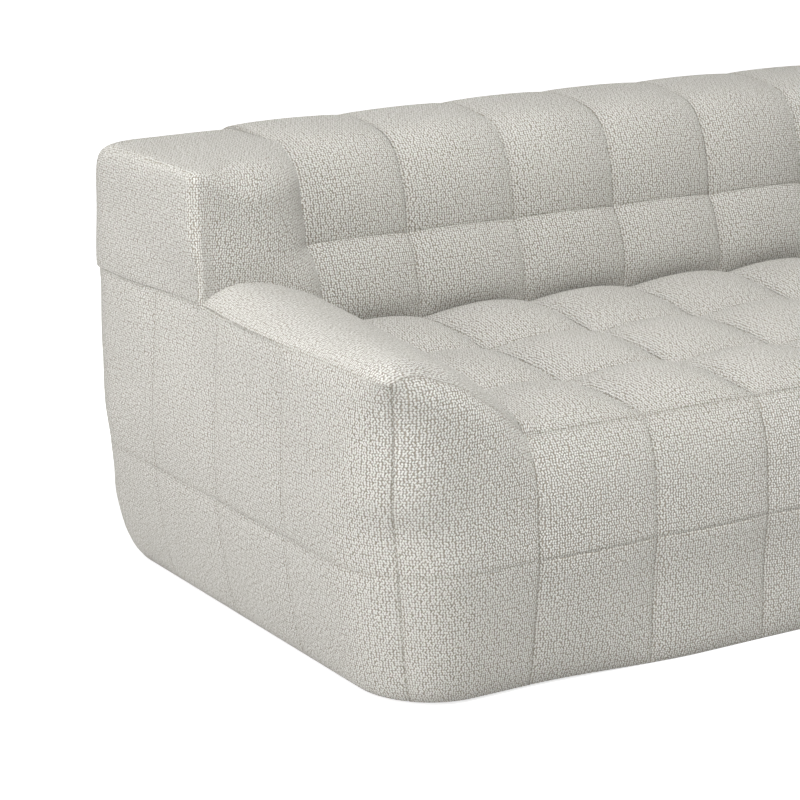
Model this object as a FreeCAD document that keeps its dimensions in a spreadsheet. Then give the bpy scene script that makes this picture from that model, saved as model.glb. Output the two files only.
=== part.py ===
import FreeCAD, Part
import math
import os

import Sketcher

# A long quilted sofa with low arms: a wooden frame, springs, foam and twelve quilted skins.
# Origin: centre of the length and depth, on the floor. +X runs along the length, +Y to the back, +Z up.
# Helper places are written as (along, back, up): along from the left side plane, back from the front plane.

SIZES = {
    # Overall
    "length": 2400,
    "depth": 985,
    "back_height": 715,
    "block_drop": 12,
    "arm_width": 255,
    "columns": 9,
    # Seat
    "seat_seam_height": 379,
    "seat_rear_height": 396,
    "seat_front_inset": 45,
    "seat_rows": 3,
    "tuft_crown": 30,
    "seam_crown": 4,
    "front_roll": 50,
    # Back
    "back_seam_height": 535,
    "back_thickness": 322,
    "back_seam_from_rear": 285,
    "back_shoulder_from_rear": 185,
    "back_puff": 20,
    "back_seam_puff": 3,
    "back_roll": 46,
    "back_rear_round": 36,
    # Arms and end blocks
    "arm_seam_height": 494,
    "arm_crown": 29,
    "arm_outer_round": 70,
    "arm_fall": 95,
    "arm_lip": 17,
    "arm_shoulder_rise": 7,
    "block_depth": 417,
    "block_top_round": 38,
    "block_cap_inset": 34,
    # Borders round the body
    "skin": 80,
    "mid_seam_height": 204,
    "hem_height": 4,
    "crease": 8,
    "panel_puff": 8,
    "corner_radius": 90,
    "side_tuck": 36,
    "front_tuck": 16,
    "rear_tuck": 26,
    "side_front_panel": 291,
    "side_rear_panel": 274,
    # Frame
    "glide_height": 24,
    "glide_radius": 25,
    "dust_cloth": 1,
    "rail_height": 90,
    "rail_thickness": 25,
    "board_thickness": 15,
    "arm_padding": 55,
    "spring_deck_height": 215,
    "seat_padding": 49,
    "arm_foam_thickness": 30,
    "back_foam_thickness": 52,
    "back_top_padding": 75,
    "post_depth": 60,
    "post_width": 30,
    # Springing
    "spring_wire": 4,
    "spring_width": 60,
    "spring_pitch": 45,
    "clip_plate": 2,
    "felt_thickness": 3,
    "webbing_thickness": 3,
    "webbing_width": 50,
    "bolt_radius": 4,
    "bolt_clearance": 0.2,
}

document = FreeCAD.newDocument("QuiltedSofa")
sheet = document.addObject("Spreadsheet::Sheet", "Sizes")
for row, (alias, value) in enumerate(SIZES.items(), 1):
    sheet.set(f"A{row}", alias)
    sheet.set(f"B{row}", str(value))
    sheet.setAlias(f"B{row}", alias)
document.recompute()

nodes = []


def size(alias):
    """A driving dimension, read from the sheet, in mm."""
    return float(getattr(sheet, alias))


def at(along, back, up):
    """A point from its distance along the length, behind the front plane and above the floor."""
    return FreeCAD.Vector(along - size("length") / 2, back - size("depth") / 2, up)


def bind(thing, prop, text):
    """Binds a property to an expression in which $name stands for a cell of the sheet."""
    thing.setExpression(prop, text.replace("$", "Sizes."))


# Expressions that several pieces share
RAIL_BOTTOM = "($glide_height + $dust_cloth)"
RAIL_TOP = "($glide_height + $dust_cloth + $rail_height)"
PAD_FLOOR = "($seat_seam_height - $seat_padding)"
ARM_FRAME = "($arm_width - $arm_padding)"
ARM_FRAME_TOP = f"({PAD_FLOOR} - $board_thickness)"
REAR_FACE = "($depth - $skin)"
POST_FRONT = "($depth - $skin - $post_depth)"
BACK_FRAME_TOP = "($back_height - $back_top_padding)"
BLOCK_FRONT = "($depth - $block_depth)"
BLOCK_FRAME_FRONT = f"({BLOCK_FRONT} + $skin)"


def plank(label, along, back, up, width, run, height, side="left", keep=True):
    """A straight board. On the right side its place along the length is mirrored."""
    board = document.addObject("Part::Box", label)
    board.Label = label
    bind(board, "Length", width)
    bind(board, "Width", run)
    bind(board, "Height", height)
    if side == "left":
        bind(board, "Placement.Base.x", f"{along} - $length / 2")
    else:
        bind(board, "Placement.Base.x", f"$length / 2 - ({along}) - ({width})")
    bind(board, "Placement.Base.y", f"{back} - $depth / 2")
    bind(board, "Placement.Base.z", up)
    if keep:
        nodes.append(board)
    return board


def solid_node(label, shape):
    """A node whose shape is made from the sheet's sizes by the functions below."""
    piece = document.addObject("Part::Feature", label)
    piece.Label = label
    piece.Shape = shape
    piece.Placement = FreeCAD.Placement()
    nodes.append(piece)
    return piece


def group(label, members):
    """Separate like solids that share one node."""
    together = document.addObject("Part::Compound", label)
    together.Label = label
    together.Links = members
    nodes.append(together)
    return together


def block_of(low, high):
    """A box between two (along, back, up) corners, as a shape."""
    start = at(*low)
    span = at(*high) - start
    return Part.makeBox(span.x, span.y, span.z, start)


def outline(start, *steps):
    """A closed wire. A step is a point for a line, or a pair (point on the way, end) for an arc."""
    edges = []
    here = at(*start)
    for step in steps + (start,):
        if isinstance(step[0], tuple):
            middle, end = at(*step[0]), at(*step[1])
            edges.append(Part.Arc(here, middle, end).toShape())
        else:
            end = at(*step)
            if (end - here).Length > 1e-6:
                edges.append(Part.LineSegment(here, end).toShape())
        here = end
    return Part.Wire(edges)


def loft(sections):
    """A smooth closed solid through closed sections."""
    solid = Part.makeLoft(sections, True, False)
    if solid.Volume < 0:
        solid.reverse()
    return solid


def joined(solids):
    """One solid from solids that share whole faces."""
    return solids[0].multiFuse(solids[1:]).removeSplitter()


def mirrored(shape):
    """The same shape on the other side of the middle of the length."""
    return shape.mirror(FreeCAD.Vector(0, 0, 0), FreeCAD.Vector(1, 0, 0))


# How far inside its corner a quarter circle passes, as a share of its radius, each way
CORNER_SHARE = 1 - math.sqrt(0.5)

# Sizes worked out from the sheet
columns = int(size("columns"))
seat_rows = int(size("seat_rows"))
pitch = (size("length") - 2 * size("arm_width")) / columns
seat_rear = size("depth") - size("back_thickness")
block_front = size("depth") - size("block_depth")
block_top = size("back_height") - size("block_drop")
pad_floor = size("seat_seam_height") - size("seat_padding")
arm_frame = size("arm_width") - size("arm_padding")
back_frame_top = size("back_height") - size("back_top_padding")
post_front = size("depth") - size("skin") - size("post_depth")


def column_seam(index):
    """Place along the length of a column seam, counted from the left arm's inner side."""
    return size("arm_width") + index * pitch


# The base frame: four rails, four cross rails and their corner blocks
plank("front_rail", "$skin", "$skin", RAIL_BOTTOM,
      "$length - 2 * $skin", "$rail_thickness", "$rail_height")
plank("rear_rail", "$skin", f"{REAR_FACE} - $rail_thickness", RAIL_BOTTOM,
      "$length - 2 * $skin", "$rail_thickness", "$rail_height")
CROSS_RUN = "$depth - 2 * $skin - 2 * $rail_thickness"
for side in ("left", "right"):
    plank(f"end_rail_{side}", "$skin", "$skin + $rail_thickness", RAIL_BOTTOM,
          "$rail_thickness", CROSS_RUN, "$rail_height", side)
CROSS_PLACES = (
    (f"{ARM_FRAME} - $rail_thickness", "left"),
    ("$length / 3 - $rail_thickness / 2", "left"),
    ("$length / 3 - $rail_thickness / 2", "right"),
    (f"{ARM_FRAME} - $rail_thickness", "right"),
)
for number, (place, side) in enumerate(CROSS_PLACES, 1):
    plank(f"cross_rail_{number}", place, "$skin + $rail_thickness", RAIL_BOTTOM,
          "$rail_thickness", CROSS_RUN, "$rail_height", side)


def corner_block(along, back, turn_along, turn_back):
    """A triangular glue block in a corner of the base; the turns point into the frame."""
    leg = arm_frame - size("skin") - 2 * size("rail_thickness")
    low = size("glide_height") + size("dust_cloth")
    corners = [(along, back), (along + turn_along * leg, back), (along, back + turn_back * leg)]
    face = Part.Face(Part.makePolygon([at(*c, low) for c in corners + corners[:1]]))
    return face.extrude(FreeCAD.Vector(0, 0, size("rail_height")))


inner = size("skin") + size("rail_thickness")
block_corners = [
    (along, back, turn_along, turn_back)
    for along, turn_along in ((inner, 1), (size("length") - inner, -1))
    for back, turn_back in ((inner, 1), (size("depth") - inner, -1))
]
solid_node("corner_blocks", Part.makeCompound([corner_block(*corner) for corner in block_corners]))

# Boards that carry the seat springs
SEAT_RUN = f"$length - 2 * {ARM_FRAME}"
plank("front_board", ARM_FRAME, "$skin", RAIL_TOP,
      SEAT_RUN, "$board_thickness", f"$spring_deck_height - {RAIL_TOP}")
plank("rear_seat_board", ARM_FRAME, f"{POST_FRONT} - $board_thickness", RAIL_TOP,
      SEAT_RUN, "$board_thickness", f"$spring_deck_height - {RAIL_TOP}")


def arm_panel(name, along, side):
    """A plywood side of the arm: low in front, as high as the end block behind."""
    label = f"{name}_{side}"
    body = document.addObject("PartDesign::Body", label)
    body.Label = label
    sketch = body.newObject("Sketcher::SketchObject", f"{label}_outline")
    plane = [f for f in body.Origin.OriginFeatures if f.Role == "YZ_Plane"][0]
    sketch.AttachmentSupport = [(plane, "")]
    sketch.MapMode = "FlatFace"
    run = "($depth - 2 * $skin)"
    step = BLOCK_FRONT
    low = f"({ARM_FRAME_TOP} - {RAIL_TOP})"
    high = f"({BACK_FRAME_TOP} - $board_thickness - {RAIL_TOP})"
    corners = [("0", "0"), (run, "0"), (run, high), (step, high), (step, low), ("0", low)]
    rough = [(0, 0), (8, 0), (8, 6), (5, 6), (5, 2), (0, 2)]
    for number, (across, up) in enumerate(rough):
        after = rough[(number + 1) % len(rough)]
        line = Part.LineSegment(FreeCAD.Vector(across, up, 0), FreeCAD.Vector(*after, 0))
        sketch.addGeometry(line, False)
    for number in range(len(rough)):
        following = (number + 1) % len(rough)
        sketch.addConstraint(Sketcher.Constraint("Coincident", number, 2, following, 1))
    sketch.addConstraint(Sketcher.Constraint("Coincident", 0, 1, -1, 1))
    for number in (0, 2, 4):
        sketch.addConstraint(Sketcher.Constraint("Horizontal", number))
    for number in (1, 3, 5):
        sketch.addConstraint(Sketcher.Constraint("Vertical", number))
    for kind, point, text, start in (
        ("DistanceX", 1, run, 8),
        ("DistanceX", 4, step, 5),
        ("DistanceY", 2, high, 6),
        ("DistanceY", 5, low, 2),
    ):
        index = sketch.addConstraint(Sketcher.Constraint(kind, -1, 1, point, 1, float(start)))
        bind(sketch, f"Constraints[{index}]", text)
    pad = body.newObject("PartDesign::Pad", f"{label}_board")
    pad.Profile = sketch
    bind(pad, "Length", "$board_thickness")
    if name == "arm_inner_panel":
        document.recompute()
        drill_bolt_holes(body, pad, plane)
    if side == "left":
        bind(body, "Placement.Base.x", f"{along} - $length / 2")
    else:
        bind(body, "Placement.Base.x", f"$length / 2 - ({along}) - $board_thickness")
    bind(body, "Placement.Base.y", "$skin - $depth / 2")
    bind(body, "Placement.Base.z", RAIL_TOP)
    nodes.append(body)


BOLT_HEIGHTS = ("0.30", "0.75")


def bolt_height(share):
    """Height of a frame bolt, as a share of the post between the seat's pad floor and its top."""
    return f"({PAD_FLOOR} + {share} * ({BACK_FRAME_TOP} - {PAD_FLOOR}))"


def drill_bolt_holes(body, base, plane):
    """Two clearance holes through an inner panel, in line with the back post beside it."""
    sketch = body.newObject("Sketcher::SketchObject", f"{body.Label}_holes")
    sketch.AttachmentSupport = [(plane, "")]
    sketch.MapMode = "FlatFace"
    for number, share in enumerate(BOLT_HEIGHTS):
        circle = Part.Circle(FreeCAD.Vector(700, 300 + 100 * number, 0), FreeCAD.Vector(0, 0, 1), 4)
        sketch.addGeometry(circle, False)
        across = sketch.addConstraint(Sketcher.Constraint("DistanceX", -1, 1, number, 3, 700.0))
        up = sketch.addConstraint(Sketcher.Constraint("DistanceY", -1, 1, number, 3, 300.0))
        wide = sketch.addConstraint(Sketcher.Constraint("Radius", number, 4.0))
        bind(sketch, f"Constraints[{across}]", f"{POST_FRONT} - $skin + $post_depth / 2")
        bind(sketch, f"Constraints[{up}]", f"{bolt_height(share)} - {RAIL_TOP}")
        bind(sketch, f"Constraints[{wide}]", "$bolt_radius + $bolt_clearance")
    document.recompute()
    solid_volume = base.Shape.Volume
    pocket = body.newObject("PartDesign::Pocket", f"{body.Label}_bolt_holes")
    pocket.Profile = sketch
    pocket.Type = "ThroughAll"
    pocket.Midplane = True
    document.recompute()
    if not pocket.Shape.Volume < solid_volume - 1:
        raise RuntimeError(f"{body.Label}: the bolt holes cut nothing")


# The arm boxes: outer and inner panels, arm board, and the end block's front and top boards
for side in ("left", "right"):
    arm_panel("arm_outer_panel", "$skin", side)
    arm_panel("arm_inner_panel", f"{ARM_FRAME} - $board_thickness", side)
    plank(f"arm_top_board_{side}", "$skin", "$skin", ARM_FRAME_TOP,
          f"{ARM_FRAME} - $skin", BLOCK_FRONT, "$board_thickness", side)
    plank(f"block_front_board_{side}", "$skin + $board_thickness", BLOCK_FRAME_FRONT, ARM_FRAME_TOP,
          f"{ARM_FRAME} - $skin - 2 * $board_thickness", "$board_thickness",
          f"{BACK_FRAME_TOP} - $board_thickness - {ARM_FRAME_TOP}", side)
    plank(f"block_top_board_{side}", "$skin", BLOCK_FRAME_FRONT, f"{BACK_FRAME_TOP} - $board_thickness",
          f"{ARM_FRAME} - $skin", f"{REAR_FACE} - {BLOCK_FRAME_FRONT}", "$board_thickness", side)


def post(number, along, side, drilled):
    """An upright of the back. The outer two are drilled for the frame bolts."""
    height = f"{BACK_FRAME_TOP} - $rail_thickness - {RAIL_TOP}"
    label = f"back_post_{number}"
    upright = plank(label if not drilled else f"{label}_bar", along, POST_FRONT, RAIL_TOP,
                    "$post_width", "$post_depth", height, side, keep=not drilled)
    if not drilled:
        return
    drills = []
    for hole, share in enumerate(BOLT_HEIGHTS, 1):
        drill = bolt_rod(f"{label}_drill_{hole}", share, side, "$bolt_radius + $bolt_clearance",
                         ARM_FRAME, "$post_width")
        drills.append(drill)
    both = document.addObject("Part::MultiFuse", f"{label}_drills")
    both.Shapes = drills
    cut = document.addObject("Part::Cut", label)
    cut.Label = label
    cut.Base = upright
    cut.Tool = both
    nodes.append(cut)


def bolt_rod(label, share, side, radius, along, length):
    """A round rod along the length, on a frame bolt's axis."""
    rod = document.addObject("Part::Cylinder", label)
    bind(rod, "Radius", radius)
    bind(rod, "Height", length)
    rod.Placement.Rotation = FreeCAD.Rotation(FreeCAD.Vector(0, 1, 0), 90)
    if side == "left":
        bind(rod, "Placement.Base.x", f"{along} - $length / 2")
    else:
        bind(rod, "Placement.Base.x", f"$length / 2 - ({along}) - ({length})")
    bind(rod, "Placement.Base.y", f"{POST_FRONT} + $post_depth / 2 - $depth / 2")
    bind(rod, "Placement.Base.z", bolt_height(share))
    return rod


# The back frame: four posts, the top rail and the rails between the posts
post(1, ARM_FRAME, "left", True)
post(2, "$length / 3 - $post_width / 2", "left", False)
post(3, "$length / 3 - $post_width / 2", "right", False)
post(4, ARM_FRAME, "right", True)
plank("back_top_rail", ARM_FRAME, POST_FRONT, f"{BACK_FRAME_TOP} - $rail_thickness",
      SEAT_RUN, "$post_depth", "$rail_thickness")
outer_bay = f"($length / 3 - $post_width / 2 - {ARM_FRAME} - $post_width)"
MID_RAIL_HEIGHT = "$back_seam_height - $rail_height"
mid_rails = [
    plank("back_mid_rail_left", f"{ARM_FRAME} + $post_width", f"{REAR_FACE} - $rail_thickness",
          MID_RAIL_HEIGHT, outer_bay, "$rail_thickness", "$rail_height", keep=False),
    plank("back_mid_rail_middle", "$length / 3 + $post_width / 2", f"{REAR_FACE} - $rail_thickness",
          MID_RAIL_HEIGHT, "$length / 3 - $post_width", "$rail_thickness", "$rail_height", keep=False),
    plank("back_mid_rail_right", f"{ARM_FRAME} + $post_width", f"{REAR_FACE} - $rail_thickness",
          MID_RAIL_HEIGHT, outer_bay, "$rail_thickness", "$rail_height", "right", keep=False),
]
group("back_mid_rails", mid_rails)

# Bolts that hold the arm boxes to the back posts: a round head inside the arm, a shank into the post
bolts = []
for side in ("left", "right"):
    for number, share in enumerate(BOLT_HEIGHTS, 1):
        inner_face = f"{ARM_FRAME} - $board_thickness"
        shank = bolt_rod(f"bolt_shank_{side}_{number}", share, side, "$bolt_radius",
                         inner_face, "$board_thickness + $post_width")
        head = bolt_rod(f"bolt_head_{side}_{number}", share, side, "2 * $bolt_radius",
                        f"{inner_face} - $bolt_radius", "$bolt_radius")
        bolt = document.addObject("Part::MultiFuse", f"bolt_{side}_{number}")
        bolt.Shapes = [shank, head]
        bolts.append(bolt)
group("frame_bolts", bolts)

# Glides under the rails, in two rows, and the dust cloth between them and the rails
GLIDE_COLUMNS = 4
glides = []
for row_name, back in (("front", "$skin + $glide_radius"), ("rear", f"{REAR_FACE} - $glide_radius")):
    for number in range(GLIDE_COLUMNS):
        glide = document.addObject("Part::Cone", f"glide_{row_name}_{number + 1}")
        bind(glide, "Radius1", "0.8 * $glide_radius")
        bind(glide, "Radius2", "$glide_radius")
        bind(glide, "Height", "$glide_height")
        first = "$skin + $glide_radius"
        gap = f"($length - 2 * ({first})) / {GLIDE_COLUMNS - 1}"
        bind(glide, "Placement.Base.x", f"{first} + {number} * {gap} - $length / 2")
        bind(glide, "Placement.Base.y", f"{back} - $depth / 2")
        glides.append(glide)
group("glides", glides)
plank("dust_cover", "$skin", "$skin", "$glide_height",
      "$length - 2 * $skin", "$depth - 2 * $skin", "$dust_cloth")

# Seat springs: one zigzag wire under each column of tufts, clipped to the boards
spring_front = size("skin")
spring_rear = post_front
spring_level = size("spring_deck_height") + size("spring_wire") / 2


def zigzag(along):
    """A zigzag spring wire that runs from the front board to the rear seat board."""
    wire_radius = size("spring_wire") / 2
    span = spring_rear - spring_front - size("board_thickness")
    turns = int(round(span / size("spring_pitch")))
    step = span / turns
    reach = size("spring_width") / 2 - step / 2
    first = spring_front + size("board_thickness") / 2
    edges = []
    for turn in range(turns + 1):
        way = 1 if turn % 2 == 0 else -1
        back = first + turn * step
        start = at(along - way * reach, back, spring_level)
        end = at(along + way * reach, back, spring_level)
        edges.append(Part.LineSegment(start, end).toShape())
        if turn < turns:
            bend = at(along + way * (reach + step / 2), back + step / 2, spring_level)
            after = at(along + way * reach, back + step, spring_level)
            edges.append(Part.Arc(end, bend, after).toShape())
    path = Part.Wire(edges)
    ring = Part.Circle(at(along - reach, first, spring_level), FreeCAD.Vector(1, 0, 0), wire_radius)
    return path.makePipeShell([Part.Wire(ring.toShape())], True, False)


def clip(along, back):
    """A bent steel clip that holds the end of a spring down on its board."""
    half = size("spring_width") / 4
    board = size("board_thickness")
    deck = size("spring_deck_height")
    top = deck + size("spring_wire")
    plate = block_of((along - half, back, top), (along + half, back + board, top + size("clip_plate")))
    tab = block_of((along - half, back, deck), (along + half, back + size("clip_plate"), top))
    return plate.fuse(tab).removeSplitter()


spring_places = [column_seam(index + 0.5) for index in range(columns)]
solid_node("seat_springs", Part.makeCompound([zigzag(along) for along in spring_places]))
solid_node("spring_clips", Part.makeCompound([
    clip(along, back)
    for along in spring_places
    for back in (spring_front, spring_rear - size("board_thickness"))
]))
TIE_COUNT = 3
TIE_END_GAP = 5
tie_radius = size("spring_wire") / 4
tie_level = spring_level + size("spring_wire") / 2 + tie_radius
ties = []
for number in range(TIE_COUNT):
    back = spring_front + (number + 1) * (spring_rear - spring_front) / (TIE_COUNT + 1)
    start = at(arm_frame + TIE_END_GAP, back, tie_level)
    run = size("length") - 2 * arm_frame - 2 * TIE_END_GAP
    ties.append(Part.makeCylinder(tie_radius, run, start, FreeCAD.Vector(1, 0, 0)))
solid_node("spring_ties", Part.makeCompound(ties))

# Felt over the springs, then the foam blocks
FELT_BOTTOM = "($spring_deck_height + $spring_wire + $clip_plate)"
plank("spring_felt", ARM_FRAME, "$skin", FELT_BOTTOM,
      SEAT_RUN, f"{POST_FRONT} - $skin", "$felt_thickness")
plank("seat_foam", ARM_FRAME, "$skin", f"{FELT_BOTTOM} + $felt_thickness",
      SEAT_RUN, f"{POST_FRONT} - $skin", f"{PAD_FLOOR} - {FELT_BOTTOM} - $felt_thickness")
plank("back_foam", "$arm_width", f"{POST_FRONT} - $webbing_thickness - $back_foam_thickness", PAD_FLOOR,
      "$length - 2 * $arm_width", "$back_foam_thickness", f"{BACK_FRAME_TOP} - {PAD_FLOOR}")
for side in ("left", "right"):
    plank(f"arm_foam_{side}", "$skin", "$skin", PAD_FLOOR,
          "$arm_width - $skin", f"{BLOCK_FRONT} - $skin", "$arm_foam_thickness", side)
STRAP_COUNT = 4
straps = []
for number in range(STRAP_COUNT):
    gap = f"({BACK_FRAME_TOP} - {PAD_FLOOR}) / {STRAP_COUNT}"
    up = f"{PAD_FLOOR} + ({number} + 0.5) * {gap} - $webbing_width / 2"
    straps.append(plank(f"strap_{number + 1}", ARM_FRAME, f"{POST_FRONT} - $webbing_thickness",
                        up, SEAT_RUN, "$webbing_thickness", "$webbing_width", keep=False))
group("back_webbing", straps)


# The seat: rows and columns of domed tufts over a flat underside
def seat_section(along, crown):
    """Upright section across the seat's depth, with one arc for each row of tufts."""
    front = size("seat_front_inset")
    rise = (size("seat_rear_height") - size("seat_seam_height")) / seat_rows
    step = (seat_rear - front) / seat_rows
    seams = [
        (along, front + row * step, size("seat_seam_height") + row * rise)
        for row in range(seat_rows + 1)
    ]
    arcs = []
    for low, high in zip(seams, seams[1:]):
        top = (along, (low[1] + high[1]) / 2, (low[2] + high[2]) / 2 + crown)
        arcs.append((top, high))
    return outline(
        (along, size("skin"), pad_floor),
        seams[0],
        *arcs,
        (along, seat_rear, pad_floor),
    )


def quilted_run(section, flat, full):
    """Columns side by side: each bulges from flat at its seams to full in its middle."""
    cells = []
    for index in range(columns):
        left, right = column_seam(index), column_seam(index + 1)
        cells.append(loft([
            section(left, flat),
            section((left + right) / 2, full),
            section(right, flat),
        ]))
    return joined(cells)


solid_node("seat_pad", quilted_run(seat_section, size("seam_crown"), size("tuft_crown")))


# The seat's front border: two rows of soft panels with a rounded top edge
def front_section(along, puff):
    """Upright section of the front border; puff is how far the panels stand out past the seams."""
    crease = size("crease")
    hem = size("hem_height")
    seam = size("mid_seam_height")
    top = size("seat_seam_height")
    inset = size("seat_front_inset")
    roll = size("front_roll")
    shoulder = top - roll
    row_middle = (hem + seam) / 2
    return outline(
        (along, size("skin"), hem),
        (along, crease + size("front_tuck"), hem),
        ((along, crease - 0.75 * puff, row_middle), (along, crease, seam)),
        ((along, crease - puff, (seam + shoulder) / 2), (along, crease + 0.12 * roll - puff / 2, shoulder)),
        ((along, 0.45 * (inset + crease) - puff / 4, top - 0.28 * roll), (along, inset, top)),
        (along, size("skin"), pad_floor),
    )


solid_node("front_border", quilted_run(front_section, size("panel_puff") / 4, size("panel_puff")))


# The back: a short row of tufts above the seat, and a tall row that rolls over the top to the rear
def back_section(along, puff):
    """Upright section of the back, with the space for its frame left open below."""
    seam_back, seam_up = size("depth") - size("back_seam_from_rear"), size("back_seam_height")
    shoulder = size("depth") - size("back_shoulder_from_rear")
    cavity_front = post_front - size("webbing_thickness") - size("back_foam_thickness")
    top = size("back_height") - size("back_puff") / 2 + puff / 2
    rear = size("depth") - size("crease") + min(puff, size("panel_puff")) / 2
    roll = size("back_roll")
    rear_round = size("back_rear_round")
    rear_edge = top - 0.1 * roll
    low_middle = ((seat_rear + seam_back) / 2 + 0.1 * roll - puff, (size("seat_rear_height") + seam_up) / 2)
    high_end = (shoulder - 1.15 * roll - 0.5 * puff, top - roll)
    high_middle = (seam_back + 0.35 * roll - 0.75 * puff, (seam_up + high_end[1]) / 2)
    return outline(
        (along, seat_rear, pad_floor),
        (along, seat_rear, size("seat_rear_height")),
        ((along, *low_middle), (along, seam_back, seam_up)),
        ((along, *high_middle), (along, *high_end)),
        ((along, shoulder - 0.8 * roll - 0.25 * puff, top - 0.35 * roll),
         (along, shoulder, top - 0.06 * roll)),
        ((along, (shoulder + rear - rear_round) / 2, top), (along, rear - rear_round, rear_edge)),
        ((along, rear - CORNER_SHARE * rear_round, rear_edge - CORNER_SHARE * rear_round),
         (along, rear, rear_edge - rear_round)),
        (along, size("depth") - size("crease"), size("arm_seam_height")),
        (along, size("depth") - size("skin"), size("arm_seam_height")),
        (along, size("depth") - size("skin"), back_frame_top),
        (along, cavity_front, back_frame_top),
        (along, cavity_front, pad_floor),
    )


solid_node("back_pad", quilted_run(back_section, size("back_seam_puff"), size("back_puff")))

# Borders round the ends and the rear, as sections at several heights
EIGHTH_TURN = math.radians(22.5)


def level(height, tuck, puff):
    """Insets of the body's outer face at one height: tuck and puff are shares of the sheet's sizes."""
    crease = size("crease")
    return {
        "height": height,
        "side": crease + tuck * size("side_tuck"),
        "front": crease + tuck * size("front_tuck"),
        "rear": crease + tuck * size("rear_tuck"),
        "puff": puff * size("panel_puff"),
    }


def border_rows(top):
    """The two rows of every border: hem to middle seam, and middle seam to the given top."""
    hem, seam = size("hem_height"), size("mid_seam_height")
    return (
        (level(hem, 1.0, 0.5), level((hem + seam) / 2, 0.1, 1.0), level(seam, 0.0, 0.4)),
        (level(seam, 0.0, 0.4), level((seam + top) / 2, 0.0, 1.0), level(top, 0.0, 0.4)),
    )


def front_corner(tier):
    """Corner seam, arc point and end of the rounded front corner, going back along the left side."""
    radius = size("corner_radius")
    centre = (tier["side"] + radius, tier["front"] + radius)
    seam = (tier["side"] + CORNER_SHARE * radius, tier["front"] + CORNER_SHARE * radius)
    on_way = (centre[0] - radius * math.cos(EIGHTH_TURN), centre[1] - radius * math.sin(EIGHTH_TURN))
    return seam, on_way, (tier["side"], centre[1])


def rear_corner(tier):
    """The same for the rear corner, in the order seam, arc point, end on the side."""
    radius = size("corner_radius")
    centre = (tier["side"] + radius, size("depth") - tier["rear"] - radius)
    seam = (tier["side"] + CORNER_SHARE * radius, size("depth") - tier["rear"] - CORNER_SHARE * radius)
    on_way = (centre[0] - radius * math.cos(EIGHTH_TURN), centre[1] + radius * math.sin(EIGHTH_TURN))
    return seam, on_way, (tier["side"], centre[1])


def puffed_panels(places, fixed, puff, along_length):
    """Arcs between seams; fixed is the seam line's inset and the arcs stand out by puff."""
    arcs = []
    for low, high in zip(places, places[1:]):
        middle = (low + high) / 2
        if along_length:
            arcs.append(((middle, fixed - puff), (high, fixed)))
        else:
            arcs.append(((fixed - puff, middle), (fixed, high)))
    return arcs


def flat_outline(height, start, steps):
    """A level outline from (along, back) points."""
    raised = []
    for step in steps:
        if isinstance(step[0], tuple):
            raised.append(((*step[0], height), (*step[1], height)))
        else:
            raised.append((*step, height))
    return outline((*start, height), *raised)


def side_seams(tier):
    """Where the side's seams and corners lie, from front to rear."""
    first = size("side_front_panel")
    channel = (size("depth") - first - size("side_rear_panel")) / 2
    channels = [first, first + channel, first + 2 * channel]
    return [front_corner(tier)[2][1], *channels, rear_corner(tier)[2][1]]


def side_section(tier):
    """Level section of the left side border, between the front and the rear corner seams."""
    seam, on_way, start = front_corner(tier)
    rear_seam, rear_way, _ = rear_corner(tier)
    panels = puffed_panels(side_seams(tier), tier["side"], tier["puff"], False)
    skin = size("skin")
    return flat_outline(tier["height"], seam, [
        (on_way, start),
        *panels,
        (rear_way, rear_seam),
        (skin, size("depth") - skin),
        (skin, skin),
    ])


def rear_section(tier):
    """Level section of the rear border, from the left rear corner seam to the right one."""
    seam, on_way, _ = rear_corner(tier)
    length, depth, skin = size("length"), size("depth"), size("skin")
    radius = size("corner_radius")
    face = depth - tier["rear"]
    centre = (tier["side"] + radius, face - radius)
    way = (centre[0] - radius * math.sin(EIGHTH_TURN), centre[1] + radius * math.cos(EIGHTH_TURN))
    places = [centre[0], *[column_seam(i) for i in range(columns + 1)], length - centre[0]]
    panels = [
        ((middle, face + tier["puff"]), (high, face))
        for middle, high in [((low + high) / 2, high) for low, high in zip(places, places[1:])]
    ]
    return flat_outline(tier["height"], seam, [
        (way, (centre[0], face)),
        *panels,
        ((length - way[0], way[1]), (length - seam[0], seam[1])),
        (length - skin, depth - skin),
        (skin, depth - skin),
    ])


def arm_front_section(tier):
    """Level section of the left arm's front, from the corner seam to the seat."""
    seam, _, _ = front_corner(tier)
    radius, skin = size("corner_radius"), size("skin")
    centre = (tier["side"] + radius, tier["front"] + radius)
    way = (centre[0] - radius * math.sin(EIGHTH_TURN), centre[1] - radius * math.cos(EIGHTH_TURN))
    width = size("arm_width")
    bulge = ((centre[0] + width) / 2, tier["front"] - tier["puff"])
    return flat_outline(tier["height"], seam, [
        (way, (centre[0], tier["front"])),
        (bulge, (width, tier["front"])),
        (width, skin),
        (skin, skin),
    ])


def two_rows(section, top):
    """A border of two puffed rows from level sections."""
    return joined([loft([section(tier) for tier in row]) for row in border_rows(top)])


side_border = two_rows(side_section, size("arm_seam_height"))
solid_node("side_border_left", side_border)
solid_node("side_border_right", mirrored(side_border))
solid_node("rear_border", two_rows(rear_section, size("arm_seam_height")))


# The arms: a crowned pad whose front end falls in an S curve to the seat's front seam
FRONT_CROWN = 0.15


def arm_foot():
    """Height of the arm's inner foot at its front end, just above the seat's front seam."""
    return size("seat_seam_height") + size("crease")


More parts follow.
